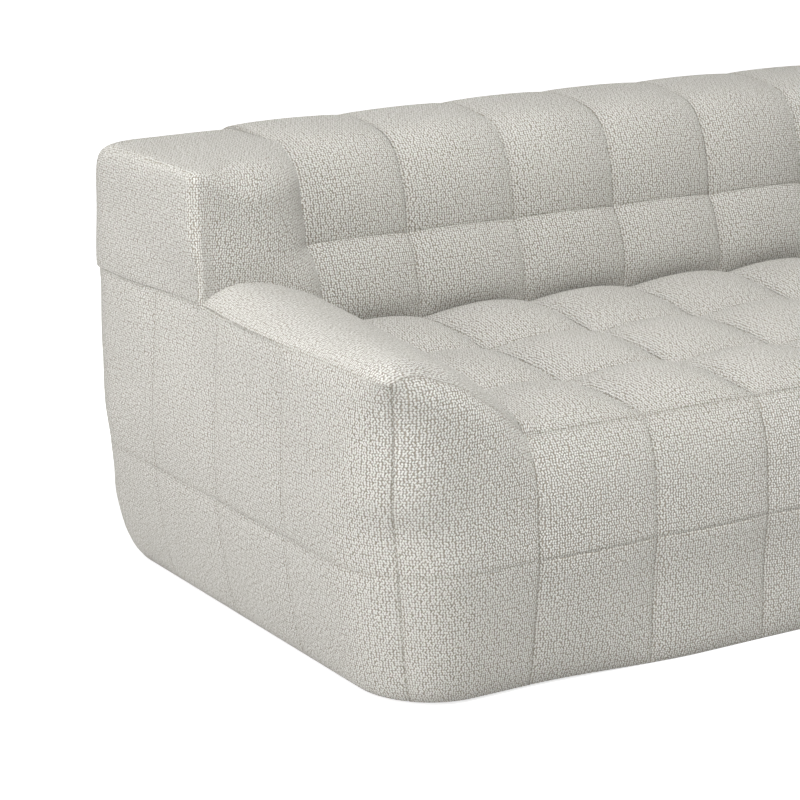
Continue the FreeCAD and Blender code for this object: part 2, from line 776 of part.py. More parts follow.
def arm_top(back, seam, crown, shoulder, foot):
    """Arcs over the top of the left arm, from its outer seam down to its inner foot."""
    width, lip = size("arm_width"), size("arm_lip")
    outer, outer_round = size("crease"), size("arm_outer_round")
    fall = 0.5 * (seam + crown + shoulder) + 0.15 * size("arm_fall")
    return [
        ((outer + 0.3 * outer_round, back, seam + 0.75 * crown), (outer + outer_round, back, seam + crown)),
        ((width - size("arm_fall"), back, fall), (width - lip, back, shoulder)),
        ((width - 0.25 * lip, back, 0.5 * (shoulder + foot) + 0.25 * lip), (width, back, foot)),
    ]


def arm_section(back, crown, shoulder, foot, floor):
    """Upright section across the left arm at one place behind the front plane."""
    skin = size("skin")
    seam = size("arm_seam_height")
    return outline(
        (skin, back, floor),
        (skin, back, seam),
        (size("crease"), back, seam),
        *arm_top(back, seam, crown, shoulder, foot),
        (size("arm_width"), back, floor),
    )


def arm_drop():
    """How far the front end of the arm's outer seam stands above its inner shoulder."""
    return size("arm_seam_height") - arm_foot() - size("arm_shoulder_rise")


def arm_stations(start, floor):
    """Sections of the arm from its front end to the end block."""
    seam, foot, drop, crown = size("arm_seam_height"), arm_foot(), arm_drop(), size("arm_crown")
    foot_rise = 0.34 * drop
    middle = start + 0.4 * (block_front - start)
    return [
        arm_section(start, FRONT_CROWN * crown, seam - drop, foot, floor),
        arm_section(middle, 0.5 * crown, seam - 0.36 * drop, foot + 0.6 * foot_rise, floor),
        arm_section(block_front, crown, seam - 0.26 * drop, foot + foot_rise, floor),
    ]


# The arm's front panel follows the same S curve along its top
def arm_front():
    """Two puffed rows cut to the arm's profile, with the top drawn in towards the front."""
    seam, foot, crown, skin = size("arm_seam_height"), arm_foot(), size("arm_crown"), size("skin")
    outside = size("panel_puff") + 2

    def profile(back, lowered):
        """The arm's end profile, lowered near the front plane, open outwards and downwards."""
        low = seam - lowered
        return outline(
            (-outside, back, -outside),
            (-outside, back, low),
            (size("crease"), back, low),
            *arm_top(back, low, FRONT_CROWN * crown, low - arm_drop(), foot - lowered),
            (size("arm_width"), back, -outside),
        )

    front_drop = 0.4 * skin
    stations = ((-0.25 * skin, front_drop), (0.4 * skin, 0.06 * front_drop), (skin, 0))
    envelope = loft([profile(back, lowered) for back, lowered in stations])
    return two_rows(arm_front_section, seam + crown).common(envelope)


front_panel = arm_front()
solid_node("arm_front_left", front_panel)
solid_node("arm_front_right", mirrored(front_panel))


# The end blocks: a rounded box at each end of the back, open below for the frame
def block_level(height, inset, puff):
    """Level section of the left end block, with four rounded corners."""
    low_along, high_along = size("crease") + inset, size("arm_width") - inset * 0.5
    front = block_front + inset
    rear = size("depth") - size("crease") - inset
    outer_round, inner_round = size("corner_radius") * 0.6, size("corner_radius") * 0.5
    rear_round = size("corner_radius")
    slant = math.sqrt(0.5)
    return flat_outline(height, (low_along, front + outer_round), [
        ((low_along - puff, (front + rear) / 2), (low_along, rear - rear_round)),
        ((low_along + rear_round * (1 - slant), rear - rear_round * (1 - slant)),
         (low_along + rear_round, rear)),
        ((0.5 * (low_along + rear_round + high_along), rear + puff), (high_along, rear)),
        (high_along, front + inner_round),
        ((high_along - inner_round * (1 - slant), front + inner_round * (1 - slant)),
         (high_along - inner_round, front)),
        (((low_along + high_along) / 2, front - puff), (low_along + outer_round, front)),
        ((low_along + outer_round * (1 - slant), front + outer_round * (1 - slant)),
         (low_along, front + outer_round)),
    ])


def end_block():
    """The block's cap, its front and inner walls, and the space for its frame."""
    low, top = size("arm_seam_height"), block_top
    puff = size("panel_puff")
    brow = top - size("block_top_round")
    body = loft([
        block_level(low, 0, 0.3 * puff),
        block_level((low + brow) / 2, 0, puff),
        block_level(brow, 0, 0.8 * puff),
    ])
    cap = loft([
        block_level(brow, 0, 0.8 * puff),
        block_level(0.37 * brow + 0.63 * top, 0.18 * size("block_cap_inset"), 0.5 * puff),
        block_level(top, size("block_cap_inset"), 0.2 * puff),
    ])
    skin, width = size("skin"), size("arm_width")
    wall, rear = block_front + skin, size("depth") - skin
    slot = post_front - size("webbing_thickness")
    front_wall = block_of((skin, block_front, pad_floor), (width, wall, low))
    inner_wall = block_of((arm_frame, wall, pad_floor), (width, rear, low))
    cavity = block_of((skin, wall, low), (arm_frame, rear, back_frame_top))
    post_slot = block_of((arm_frame, slot, pad_floor), (width, rear, back_frame_top))
    return joined([body, cap, front_wall, inner_wall]).cut(cavity).cut(post_slot)


block = end_block()
solid_node("end_block_left", block)
solid_node("end_block_right", mirrored(block))
whole_arm = loft(arm_stations(size("skin"), pad_floor + size("arm_foam_thickness")))
arm_pad = whole_arm.cut(block)
solid_node("arm_pad_left", arm_pad)
solid_node("arm_pad_right", mirrored(arm_pad))

# Every object must have built, and every node must be whole, before anything is written
document.recompute()
for thing in document.Objects:
    if "Invalid" in thing.State or "Error" in thing.State:
        raise RuntimeError(f"{thing.Label} failed: {thing.State}")
for node in nodes:
    if node.Shape.isNull() or not node.Shape.isValid():
        raise RuntimeError(f"{node.Label} has no valid shape")
    if not node.Shape.Solids or node.Shape.Volume <= 0:
        raise RuntimeError(f"{node.Label} has no solid")

os.makedirs("parts", exist_ok=True)
for node in nodes:
    node.Shape.exportStep(f"parts/{node.Label}.step")
print(len(nodes), "nodes written")
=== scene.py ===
"""Looks of the quilted sofa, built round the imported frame. Shapes are worked out in millimetres as
(along, back, up): from the left end, from the front plane, and above the floor."""

import math

import bmesh
import bpy
import numpy as np
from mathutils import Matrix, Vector


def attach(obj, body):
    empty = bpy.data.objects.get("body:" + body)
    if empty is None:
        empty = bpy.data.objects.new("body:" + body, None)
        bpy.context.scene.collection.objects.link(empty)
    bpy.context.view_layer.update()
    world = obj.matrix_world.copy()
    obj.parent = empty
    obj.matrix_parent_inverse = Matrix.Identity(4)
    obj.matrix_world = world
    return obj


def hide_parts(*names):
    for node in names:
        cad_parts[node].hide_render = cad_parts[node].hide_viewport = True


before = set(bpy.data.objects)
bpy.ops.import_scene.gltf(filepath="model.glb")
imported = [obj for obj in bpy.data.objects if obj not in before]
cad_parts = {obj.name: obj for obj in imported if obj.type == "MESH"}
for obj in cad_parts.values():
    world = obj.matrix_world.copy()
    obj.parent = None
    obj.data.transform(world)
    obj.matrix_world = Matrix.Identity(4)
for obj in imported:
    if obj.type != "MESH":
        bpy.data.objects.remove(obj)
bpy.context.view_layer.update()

# Driving sizes in mm. The seat and back have COLUMNS tufts, PITCH wide, between the arms.
LENGTH, DEPTH = 2400, 985
ARM, COLUMNS, PITCH = 255, 9, 210
HEM, MID, SIDE_TOP = 5, 204, 494
SEAT_FRONT, SEAT_REAR, SEAT_TOP, BACK_FOOT = 45, 663, 379, 397
SIDE_SEAMS = (291, 501, 711)
BACK_SEAM, BACK_FACE = (700, 537), 978
BLOCK_FRONT, BLOCK_TOP, BLOCK_OUTER, BLOCK_INNER, BLOCK_REAR = 568, 700, 4.0, 253.0, DEPTH - 7.0
SMALL_CORNER, REAR_CORNER = 16.0, 89.0
MM = 0.001

# Quilting: share of a tuft's height that is there before it is blown up, width of the furrow along a
# seam and the length over which it fades at a piece's edge. WALL is the thickness of a wall's padding,
# and HIDDEN the distance to a seam that is written where none shows.
AIR_SHARE, FURROW, FURROW_END, WALL, HIDDEN = 0.8, 2.6, 8, 45, 50.0
CLOTH_FRAMES = 20
CLOTH = {
    "quality": 4, "mass": 0.15, "tension_stiffness": 25, "compression_stiffness": 25,
    "shear_stiffness": 15, "bending_stiffness": 0.6, "use_pressure": True, "uniform_pressure_force": 4,
    "vertex_group_mass": "held",
}

# Weave: distances between nubs and between rows in m, length of a stitch in mm, and colours
NUB_PITCH, NUB_ROW, STITCH = 0.0045, 0.0038, 6.5
NUB_SWAY, NUB_WANDER, NUB_SHAPE, NUB_CORE = 0.16, 0.8, (1.1, 0.82, 0.0), 0.24
NUB_COLOUR = (0.80, 0.79, 0.76, 1)
DULL_NUB = (0.66, 0.645, 0.605, 1)
GAP_COLOUR = (0.25, 0.225, 0.172, 1)
SEAM_COLOUR = (0.20, 0.185, 0.155, 1)

# Studio: the floor's colour and its glow for the camera, the world's strength, each lamp's name, place,
# target, size and power, and the camera of the photograph
FLOOR_COLOUR, FLOOR_LIFT, WORLD_LIGHT = 0.7, 0.8, 0.32
LAMPS = (
    ("side", (-4.5, 0.3, 1.0), (-1.2, 0, 0.3), 1.6, 104),
    ("high", (-1.6, -2.1, 4.2), (-0.3, 0.2, 0.4), 1.8, 300),
)
EYE, YAW, PITCH_DOWN, LENS, SENSOR = (-3.0112, -3.4494, 1.4323), 31.76, 15.36, 119.44, 36


# Curves
def ease(x, table):
    """Smooth interpolation without overshoot through a table of (x, y) rows."""
    xs, ys = np.array(table, float).T
    gaps, slopes = np.diff(xs), np.diff(ys) / np.diff(xs)
    tangents = np.zeros(len(xs))
    same = slopes[:-1] * slopes[1:] > 0
    total = np.where(same, slopes[:-1] + slopes[1:], 1)
    tangents[1:-1] = np.where(same, 2 * slopes[:-1] * slopes[1:] / total, 0)
    tangents[0], tangents[-1] = slopes[0], slopes[-1]
    x = np.clip(np.asarray(x, float), xs[0], xs[-1])
    k = np.clip(np.searchsorted(xs, x) - 1, 0, len(xs) - 2)
    t, gap = (x - xs[k]) / gaps[k], gaps[k]
    return (ys[k] * (1 + 2 * t) * (1 - t) ** 2 + ys[k + 1] * t * t * (3 - 2 * t)
            + gap * tangents[k] * t * (1 - t) ** 2 - gap * tangents[k + 1] * t * t * (1 - t))


def step(x, low, high):
    """0 up to low, 1 from high, smooth between."""
    t = np.clip((np.asarray(x, float) - low) / (high - low), 0, 1)
    return t * t * (3 - 2 * t)


def rounded(points, dense=16):
    """Many points on a smooth curve through a few."""
    p = np.array(points, float)
    p = np.vstack([2 * p[0] - p[1], p, 2 * p[-1] - p[-2]])
    spans = np.sqrt(np.linalg.norm(np.diff(p, axis=0), axis=1)) + 1e-9
    knots = np.concatenate([[0], np.cumsum(spans)])
    out = []
    for i in range(1, len(p) - 2):
        t0, t1, t2, t3 = knots[i - 1:i + 3]
        t = np.linspace(t1, t2, dense, endpoint=False)[:, None]
        a1 = (t1 - t) / (t1 - t0) * p[i - 1] + (t - t0) / (t1 - t0) * p[i]
        a2 = (t2 - t) / (t2 - t1) * p[i] + (t - t1) / (t2 - t1) * p[i + 1]
        a3 = (t3 - t) / (t3 - t2) * p[i + 1] + (t - t2) / (t3 - t2) * p[i + 2]
        b1 = (t2 - t) / (t2 - t0) * a1 + (t - t0) / (t2 - t0) * a2
        b2 = (t3 - t) / (t3 - t1) * a2 + (t - t1) / (t3 - t1) * a3
        out.append((t2 - t) / (t2 - t1) * b1 + (t - t1) / (t2 - t1) * b2)
    return np.vstack(out + [p[-2:-1]])


def lengths(line):
    """How far each point of a line lies along it."""
    return np.concatenate([[0], np.cumsum(np.linalg.norm(np.diff(line, axis=0), axis=1))])


def along(line, shares):
    """Points at the given shares of a line's length."""
    run = lengths(line)
    wanted = np.asarray(shares) * run[-1]
    return np.stack([np.interp(wanted, run, line[:, k]) for k in range(line.shape[1])], -1)


def cells(count, steps, crowd=0.7):
    """Lines of a grid in count cells, crowded towards the seams: (cell, share in the cell) of each."""
    steps = [steps] * count if np.isscalar(steps) else steps
    cell, inside = [], []
    for number, many in enumerate(steps):
        k = np.arange(many) / many
        inside.append(crowd * (0.5 - 0.5 * np.cos(math.pi * k)) + (1 - crowd) * k)
        cell.append(np.full(many, number))
    return np.append(np.concatenate(cell), count - 1), np.append(np.concatenate(inside), 1.0)


# The body's outline: how far each wall lies inside the box, and the corners' radii, by height
CORNER_POINTS, LEAN_FROM = 12, 300


def side_inset(up):
    return ease(up, [(0, 44), (6, 41), (20, 32), (53, 24), (102, 15), (151, 8), (202, 1), (260, -1),
                     (351, 2), (442, 4), (494, 4)])


def front_inset(up):
    return ease(up, [(0, 30), (6, 26), (25, 20), (65, 15), (115, 10), (160, 6), (204, 2), (225, 3),
                     (270, 7), (320, 9), (500, 6)])


def rear_inset(up):
    return ease(up, [(0, 38), (6, 34), (60, 20), (104, 13), (160, 9), (204, 7), (494, 7), (720, 9)])


def front_radius(up):
    return ease(up, [(0, 118), (10, 120), (75, 135), (140, 145), (200, 150), (260, 140), (320, 103),
                     (412, 90), (442, 80), (475, 58), (494, 40)])


def rear_radius(up):
    return ease(up, [(0, 122), (20, 117), (53, 104), (102, 106), (150, 122), (202, 134), (228, 126),
                     (260, 115), (300, 107), (400, 97), (463, 100), (494, 96), (720, 96)])


def side_seam(back):
    """Where the side's upper seam lies, from the left plane."""
    return ease(back, [(0, 5), (126, 1), (294, -1), (426, 4), (492, 5), (578, 15), (642, 14), (702, 9),
                       (756, 2), (819, -1), (985, 0)])


def side_line(up):
    """Level outline of the left side at one height, as four runs of points between its seams. The upper
    part leans to follow the seam under the arm."""
    side, front, rear = side_inset(up), front_inset(up), DEPTH - rear_inset(up)
    low, high = front_radius(up), rear_radius(up)
    turn = np.linspace(0, math.pi / 4, CORNER_POINTS)[::-1]
    first = np.stack([side + low - low * np.cos(turn), front + low - low * np.sin(turn)], -1)
    turn = turn[::-1]
    last = np.stack([side + high - high * np.cos(turn), rear - high + high * np.sin(turn)], -1)

    def lean(back):
        return step(up, LEAN_FROM, SIDE_TOP) * (side_seam(back) - side_inset(SIDE_TOP))

    def straight(start, end):
        back = np.linspace(start, end, CORNER_POINTS)
        return np.stack([side + lean(back), back], -1)

    first[:, 0] += lean(first[:, 1]) * np.linspace(0, 1, len(first))
    last[:, 0] += lean(last[:, 1]) * np.linspace(1, 0, len(last))
    near, middle, far = SIDE_SEAMS
    return [
        np.vstack([first[:-1], straight(first[-1, 1], near)]),
        straight(near, middle),
        straight(middle, far),
        np.vstack([straight(far, last[0, 1]), last[1:]]),
    ]


def front_line(up):
    """Level outline of the arm's front, from the corner seam to the seat."""
    side, front, radius = side_inset(up), front_inset(up), front_radius(up)
    turn = np.linspace(math.pi / 4, math.pi / 2, CORNER_POINTS)
    arc = np.stack([side + radius - radius * np.cos(turn), front + radius - radius * np.sin(turn)], -1)
    return np.vstack([arc, [[ARM, front]]])


# Puffed surfaces: a base through the seams, raised between them
def bulge(share, fullness):
    """Height of a pillow across one cell, 0 at its seams and 1 in its middle."""
    return np.clip(1 - (2 * share - 1) ** 2, 0, 1) ** fullness


def normals(grid):
    """Unit normals of a grid of points."""
    across = np.gradient(grid, axis=0)
    up = np.gradient(grid, axis=1)
    n = np.cross(across, up)
    return n / np.maximum(np.linalg.norm(n, axis=-1, keepdims=True), 1e-9)


def finer(values):
    """The same grid with a line more between each two of its own, on a smooth cubic curve."""
    for axis in (0, 1):
        v = np.moveaxis(values, axis, 0)
        ends = np.concatenate([2 * v[:1] - v[1:2], v, 2 * v[-1:] - v[-2:-1]])
        a, b, c, d = ends[:-3], ends[1:-2], ends[2:-1], ends[3:]
        rows = []
        for t in (0, 0.5):
            rows.append(0.5 * (2 * b + (c - a) * t + (2 * a - 5 * b + 4 * c - d) * t * t
                               + (3 * b - a - 3 * c + d) * t ** 3))
        joined = np.stack(rows, 1).reshape(-1, *v.shape[1:])
        values = np.moveaxis(np.concatenate([joined, v[-1:]]), 0, axis)
    return values


def seam_distance(grid, lines, axis):
    """Distance in mm of each point to the nearest of some grid lines."""
    run = runs_of(grid)[axis]
    best = np.full(run.shape, 1e3)
    for line in lines:
        best = np.minimum(best, np.abs(run - np.take(run, [line], axis)))
    return best


def seam_places(grid, across, up):
    """Distances in mm to the nearest inner seam line and to the nearest edge, at each point."""
    inner = [[i for i in range(1, len(line[1]) - 1) if line[1][i] == 0] for line in (across, up)]
    edges = [[0, len(line[1]) - 1] for line in (across, up)]
    return [np.minimum(seam_distance(grid, lines[0], 0), seam_distance(grid, lines[1], 1))
            for lines in (inner, edges)]


def puff(base, across, up, full, seams, fullness, outward, profile):
    """Raises a base grid into pillows. full is the height in a cell's middle (a number or an array), and
    seams the height that the lines across and up reach between their crossings. profile, where one is
    given, says how high each line up stands between its seams."""
    (cell_a, share_a), (cell_b, share_b) = across, up
    fa, fb = bulge(share_a, fullness)[:, None], bulge(share_b, fullness)[None, :]
    if profile is not None:
        fb = profile[None, :]
    inner_a = (cell_a + share_a > 0.5) & (cell_a + share_a < cell_a[-1] + 0.5)
    inner_b = (cell_b + share_b > 0.5) & (cell_b + share_b < cell_b[-1] + 0.5)
    height = full * fa * fb + seams[0] * fa * (1 - fb) * inner_b[None, :] \
        + seams[1] * fb * (1 - fa) * inner_a[:, None]
    return base + outward * normals(base) * height[..., None]


# Cloth: each quilted sheet is held at its seams and blown out a little
def quads_of(ids):
    """The four point numbers of each face of a grid of them."""
    return np.stack([ids[:-1, :-1], ids[1:, :-1], ids[1:, 1:], ids[:-1, 1:]], -1)


def blown(grid, pinned, outward, cap):
    """The grid after a short cloth simulation that holds the pinned points; no point moves over cap mm."""
    count_a, count_b = grid.shape[:2]
    mesh = bpy.data.meshes.new("cloth")
    quads = quads_of(np.arange(count_a * count_b).reshape(count_a, count_b)).reshape(-1, 4)
    if outward < 0:
        quads = quads[:, ::-1]
    mesh.from_pydata((grid.reshape(-1, 3) * MM).tolist(), [], quads.tolist())
    thing = bpy.data.objects.new("cloth", mesh)
    bpy.context.scene.collection.objects.link(thing)
    held = thing.vertex_groups.new(name="held")
    held.add(np.flatnonzero(pinned.ravel()).tolist(), 1.0, "REPLACE")
    cloth = thing.modifiers.new("cloth", "CLOTH")
    for setting, value in CLOTH.items():
        setattr(cloth.settings, setting, value)
    cloth.settings.effector_weights.gravity = 0
    cloth.point_cache.frame_start, cloth.point_cache.frame_end = 1, CLOTH_FRAMES
    for number in range(1, CLOTH_FRAMES + 1):
        bpy.context.scene.frame_set(number)
    shaped = thing.evaluated_get(bpy.context.evaluated_depsgraph_get())
    found = np.zeros(count_a * count_b * 3)
    shaped.data.vertices.foreach_get("co", found)
    bpy.context.scene.frame_set(1)
    bpy.data.objects.remove(thing)
    moved = found.reshape(grid.shape) / MM - grid
    size = np.linalg.norm(moved, axis=-1, keepdims=True)
    return grid + moved * cap / np.maximum(size + cap, 1e-9)


def pins(across, up):
    """True on the seam lines of a grid and on its edges."""
    return (np.isin(across[1], (0, 1))[:, None]) | (np.isin(up[1], (0, 1))[None, :])


# Meshes
def to_frame(points):
    """From (along, back, up) in mm to the row frame in metres."""
    return (np.asarray(points, float) - [LENGTH / 2, DEPTH / 2, 0]) * MM


def closed_tube(name, outer, inner, fabric, seam):
    """A closed piece of sections. outer is (sections, points, 3), and inner (sections, few, 3) runs back
    inside. At each outer point, fabric is the weave's place in mm, and seam is the distance to a seam
    and the place along it in mm."""
    count, many = outer.shape[:2]
    few = inner.shape[1]
    ring = np.concatenate([outer, inner], axis=1)
    total = many + few
    ids = np.arange(count * total).reshape(count, total)
    closing = np.concatenate([ids, ids[:, :1]], axis=1)
    quads = quads_of(closing).reshape(-1, 4)
    faces = quads.tolist() + [ids[0].tolist(), ids[-1, ::-1].tolist()]
    middle = ring.reshape(-1, 3).mean(0)
    corner = ring.reshape(-1, 3)[quads] - middle
    turning = np.cross(corner[:, 0], corner[:, 1]) + np.cross(corner[:, 0], corner[:, 2])
    if np.einsum("ij,ij->i", turning, corner[:, 2] + corner[:, 3]).sum() < 0:
        faces = [f[::-1] for f in faces]
    inside_uv = np.repeat(fabric[:, -1:], few, 1)
    inside_seam = np.repeat(np.full_like(seam[:, -1:], HIDDEN), few, 1)
    uv = np.concatenate([fabric, inside_uv], 1).reshape(-1, 2)
    near = np.concatenate([seam, inside_seam], 1).reshape(-1, 2)
    return mesh_of(name, ring.reshape(-1, 3), faces, uv, near)


def mesh_of(name, points, faces, uv, near, loop_uv=None):
    """A mesh that holds the weave's place, given at each point or each face corner, and the seams'."""
    mesh = bpy.data.meshes.new(name)
    mesh.from_pydata(to_frame(points).tolist(), [], faces)
    corners = np.zeros(len(mesh.loops), int)
    mesh.loops.foreach_get("vertex_index", corners)
    layer = mesh.uv_layers.new(name="weave")
    values = uv[corners] if loop_uv is None else loop_uv
    layer.uv.foreach_set("vector", (values * MM).astype(np.float32).ravel())
    held = mesh.attributes.new("seam", "FLOAT_VECTOR", "POINT")
    data = np.zeros((len(mesh.vertices), 3), np.float32)
    data[:, :2] = near
    held.data.foreach_set("vector", data.ravel())
    mesh.polygons.foreach_set("use_smooth", np.ones(len(mesh.polygons), bool))
    mesh.update()
    return mesh


def add(name, mesh, node):
    """Puts an upholstered piece in the scene in place of its CAD node."""
    thing = bpy.data.objects.new(name, mesh)
    bpy.context.scene.collection.objects.link(thing)
    thing.data.materials.append(fabric_material)
    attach(thing, "root")
    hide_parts(node)


def mirrored_mesh(mesh, name):
    """A copy of a mesh on the other side of the middle of the length."""
    other = mesh.copy()
    other.name = name
    points = np.zeros(len(other.vertices) * 3)
    other.vertices.foreach_get("co", points)
    points = points.reshape(-1, 3) * [-1, 1, 1]
    other.vertices.foreach_set("co", points.ravel())
    work = bmesh.new()
    work.from_mesh(other)
    bmesh.ops.reverse_faces(work, faces=work.faces)
    work.to_mesh(other)
    work.free()
    return other


def fabric_of(grid, anchor=None):
    """The weave's place at each point: distances over the surface, the same all along each line of the
    grid, or up each line from the anchor line where one is given."""
    u, v = runs_of(grid)
    u = np.repeat(u.mean(1, keepdims=True), grid.shape[1], 1)
    if anchor is None:
        v = np.repeat(v.mean(0, keepdims=True), grid.shape[0], 0)
    else:
        v = v - v[:, anchor:anchor + 1]
    return np.stack([u, v], -1)


def runs_of(grid):
    """Distance of each point along its own line, both ways over a grid."""
    du = np.linalg.norm(np.diff(grid, axis=0), axis=-1)
    dv = np.linalg.norm(np.diff(grid, axis=1), axis=-1)
    u = np.concatenate([np.zeros((1, grid.shape[1])), np.cumsum(du, axis=0)])
    v = np.concatenate([np.zeros((grid.shape[0], 1)), np.cumsum(dv, axis=1)], axis=1)
    return u, v


def seam_facts(grid, across, up):
    """(distance to the nearest seam, place along it) at each point, edges included."""
    lines_a = [i for i, s in enumerate(across[1]) if s in (0, 1)]
    lines_b = [i for i, s in enumerate(up[1]) if s in (0, 1)]
    near_a, near_b = seam_distance(grid, lines_a, 0), seam_distance(grid, lines_b, 1)
    u, v = runs_of(grid)
    return np.stack([np.minimum(near_a, near_b), np.where(near_a < near_b, v, u)], -1)


def fine_cells(line):
    """The (cell, share) lists of a grid after finer(): each new line lies halfway between two old ones."""
    cell, share = line
    place = cell + share
    between = place[:-1] + np.diff(place) / 2
    fine = np.append(np.stack([place[:-1], between], 1).ravel(), place[-1])
    whole = np.minimum(np.floor(fine + 1e-9).astype(int), cell[-1])
    rest = fine - whole
    rest[np.abs(rest) < 1e-9] = 0
    return whole, rest


# Pieces
def finish_grid(base, across, up, full, seams, cap, groove, outward=1, fullness=0.6, profile=None):
    """The outer skin of one quilted piece: puffed, blown by cloth, refined, then drawn in by the groove
    at its seams. outward is -1 where the grid's lines run so that its normals point in."""
    shape = puff(base, across, up, np.asarray(full) * AIR_SHARE, seams, fullness, outward, profile)
    shape = blown(shape, pins(across, up), outward, cap)
    shape = finer(shape)
    across, up = fine_cells(across), fine_cells(up)
    near, edge = seam_places(shape, across, up)
    depth = groove * np.exp(-(near / FURROW) ** 2) * step(edge, 0, FURROW_END)
    return shape - outward * normals(shape) * depth[..., None], across, up


def quilted(name, node, grid, across, up, inner, anchor=None, mirror=None, faint=0.0):
    """Makes a piece, and the same on the other side where mirror names that piece and its node. faint
    (mm) thins the seams' lines."""
    seam = seam_facts(grid, across, up) + [faint, 0]
    mesh = closed_tube(name, grid, inner, fabric_of(grid, anchor), seam)
    add(name, mesh, node)
    if mirror:
        add(mirror[0], mirrored_mesh(mesh, mirror[0]), mirror[1])


def column_places(across):
    """Where the lines of the middle's columns lie along the sofa, and how far from the nearer end."""
    places = ARM + PITCH * (across[0] + across[1])
    return places, np.minimum(places, LENGTH - places)


def inner_lines(grid, places):
    """Level lines inside a piece, one for each (back, up), with a point beside each line of its grid."""
    ends, many = grid[:, 0, 0], len(grid)
    return np.stack([np.stack([ends, np.full(many, b), np.full(many, z)], -1) for b, z in places], 1)


def seat():
    """27 tufts. The base is pressed up beside the arms, and each front tuft is fullest at the front."""
    tuft, waves, press, press_width, press_depth = 45, 2, 16, 50, 14
    across, up = cells(COLUMNS, 24), cells(3, 24)
    places, ends = column_places(across)
    back = SEAT_FRONT + (SEAT_REAR - SEAT_FRONT) * (up[0] + up[1]) / 3
    height = ease(back, [(SEAT_FRONT, SEAT_TOP), (251, 379), (457, 386), (SEAT_REAR, BACK_FOOT)])
    pressed = press * (1 - step(ends, ARM, ARM + press_width))[:, None]
    pressed = pressed * step(back, SEAT_FRONT, SEAT_FRONT + press_depth)[None, :]
    base = np.stack(np.broadcast_arrays(places[:, None], back[None, :], height[None, :] + pressed), -1)
    full = tuft + waves * np.sin(places * 0.013)[:, None] * np.ones(len(back))
    rows = np.where((up[0] == 0) & (up[1] < 0.5), bulge(up[1], 0.85), bulge(up[1], 0.6))
    grid, across, up = finish_grid(base, across, up, full, (3, 3), cap=5, groove=1.5, profile=rows)
    inner = inner_lines(grid, [(SEAT_REAR - 8, SEAT_TOP - 39.0), (SEAT_FRONT + 35, SEAT_TOP - 39.0)])
    quilted("seat_cushion", "seat_pad", grid, across, up, inner)


def front():
    """Two rows of panels. The hem comes forward and sags a little between the arms."""
    reach, roll, forward, sag, spread = SEAT_FRONT - front_inset(SEAT_TOP), 110, 20, 4, 560
    across, up = cells(COLUMNS, 24), cells(2, 22)
    places, ends = column_places(across)
    height = two_rows(up, SEAT_TOP)
    rolled = reach * np.clip(1 - (SEAT_TOP - height) / roll, 0, 1) ** 2.6
    back = front_inset(height) + rolled * (height > MID)
    middle = step(ends, ARM, spread)[:, None]
    shift = forward * middle * np.clip(1 - height / 150, 0, 1)[None, :] ** 1.5
    drop = sag * middle * np.clip(1 - height / 60, 0, 1)[None, :]
    base = np.stack(np.broadcast_arrays(places[:, None], back[None, :] - shift, height[None, :] - drop), -1)
    grid, across, up = finish_grid(base, across, up, 11.0, (8, 0.5), cap=4, groove=1.2)
    inner = inner_lines(grid, [(SEAT_FRONT + 30.0, SEAT_TOP - 34.0), (SEAT_FRONT + 30.0, HEM)])
    quilted("front_panels", "front_border", grid, across, up, inner)


def back():
    """Two rows of tufts, the upper ones over the top and down behind. The middle stands a little taller."""
    taller, roll_in, roll_out, lower_crown = 5.5, 85, 70, 21.0
    across, up = cells(COLUMNS, 24), cells(2, (20, 56))
    places, ends = column_places(across)
    low = rounded([(SEAT_REAR, BACK_FOOT), (662, 415), (662, 440), (670, 475), (682, 508), BACK_SEAM])
    high = rounded([BACK_SEAM, (702, 565), (710, 606), (722, 637), (738, 665), (763, 686), (800, 697),
                    (850, 703), (900, 703), (935, 697), (960, 683), (974, 662), (BACK_FACE, 632),
                    (BACK_FACE, 560), (BACK_FACE, SIDE_TOP)])
    cell, share = up
    path = np.where((cell == 0)[:, None], along(low, share), along(high, share))
    run = lengths(high)[-1]
    distance = share * run
    over = 0.5 * np.clip(distance / roll_in, 0, 1) + 0.5 * np.clip(1 - (run - distance) / roll_out, 0, 1)
    row = np.where(cell == 0, share, over)
    crown = ease(distance, [(0, 21), (110, 23), (170, 17), (215, 9), (270, 6), (400, 6), (run, 9)])
    full = np.where(cell == 0, lower_crown, crown)
    raised = taller * step(ends, 400, 900)[:, None] * step(path[:, 1], 560, 690)[None, :]
    base = np.stack(np.broadcast_arrays(places[:, None], path[None, :, 0], path[None, :, 1] + raised), -1)
    grid, across, up = finish_grid(base, across, up, full[None, :], (15, 1), cap=5, groove=0.5,
                                   profile=bulge(row, 0.9))
    inner = inner_lines(grid, [(930.0, SIDE_TOP), (925.0, 645.0), (795.0, 645.0), (775.0, 400.0)])
    quilted("back_cushions", "back_pad", grid, across, up, inner)


# Walls
def two_rows(up, top):
    """Heights of a wall's lines, hem to middle seam to the given top."""
    share = up[0] + up[1]
    return np.where(share <= 1, HEM + share * (MID - HEM), MID + (share - 1) * (top - MID))


def inward(grid, away, depth, top):
    """Two points for each upright line of a wall: inside it, at its top and at its hem."""
    middle = grid[:, grid.shape[1] // 2]
    foot = grid[:, 0]
    direction = -away * normals(grid)[:, grid.shape[1] // 2]
    direction[:, 2] = 0
    direction /= np.linalg.norm(direction, axis=1, keepdims=True)
    upper, lower = middle + depth * direction, foot + 0.6 * depth * direction
    upper[:, 2], lower[:, 2] = top, HEM
    return np.stack([upper, lower], 1)


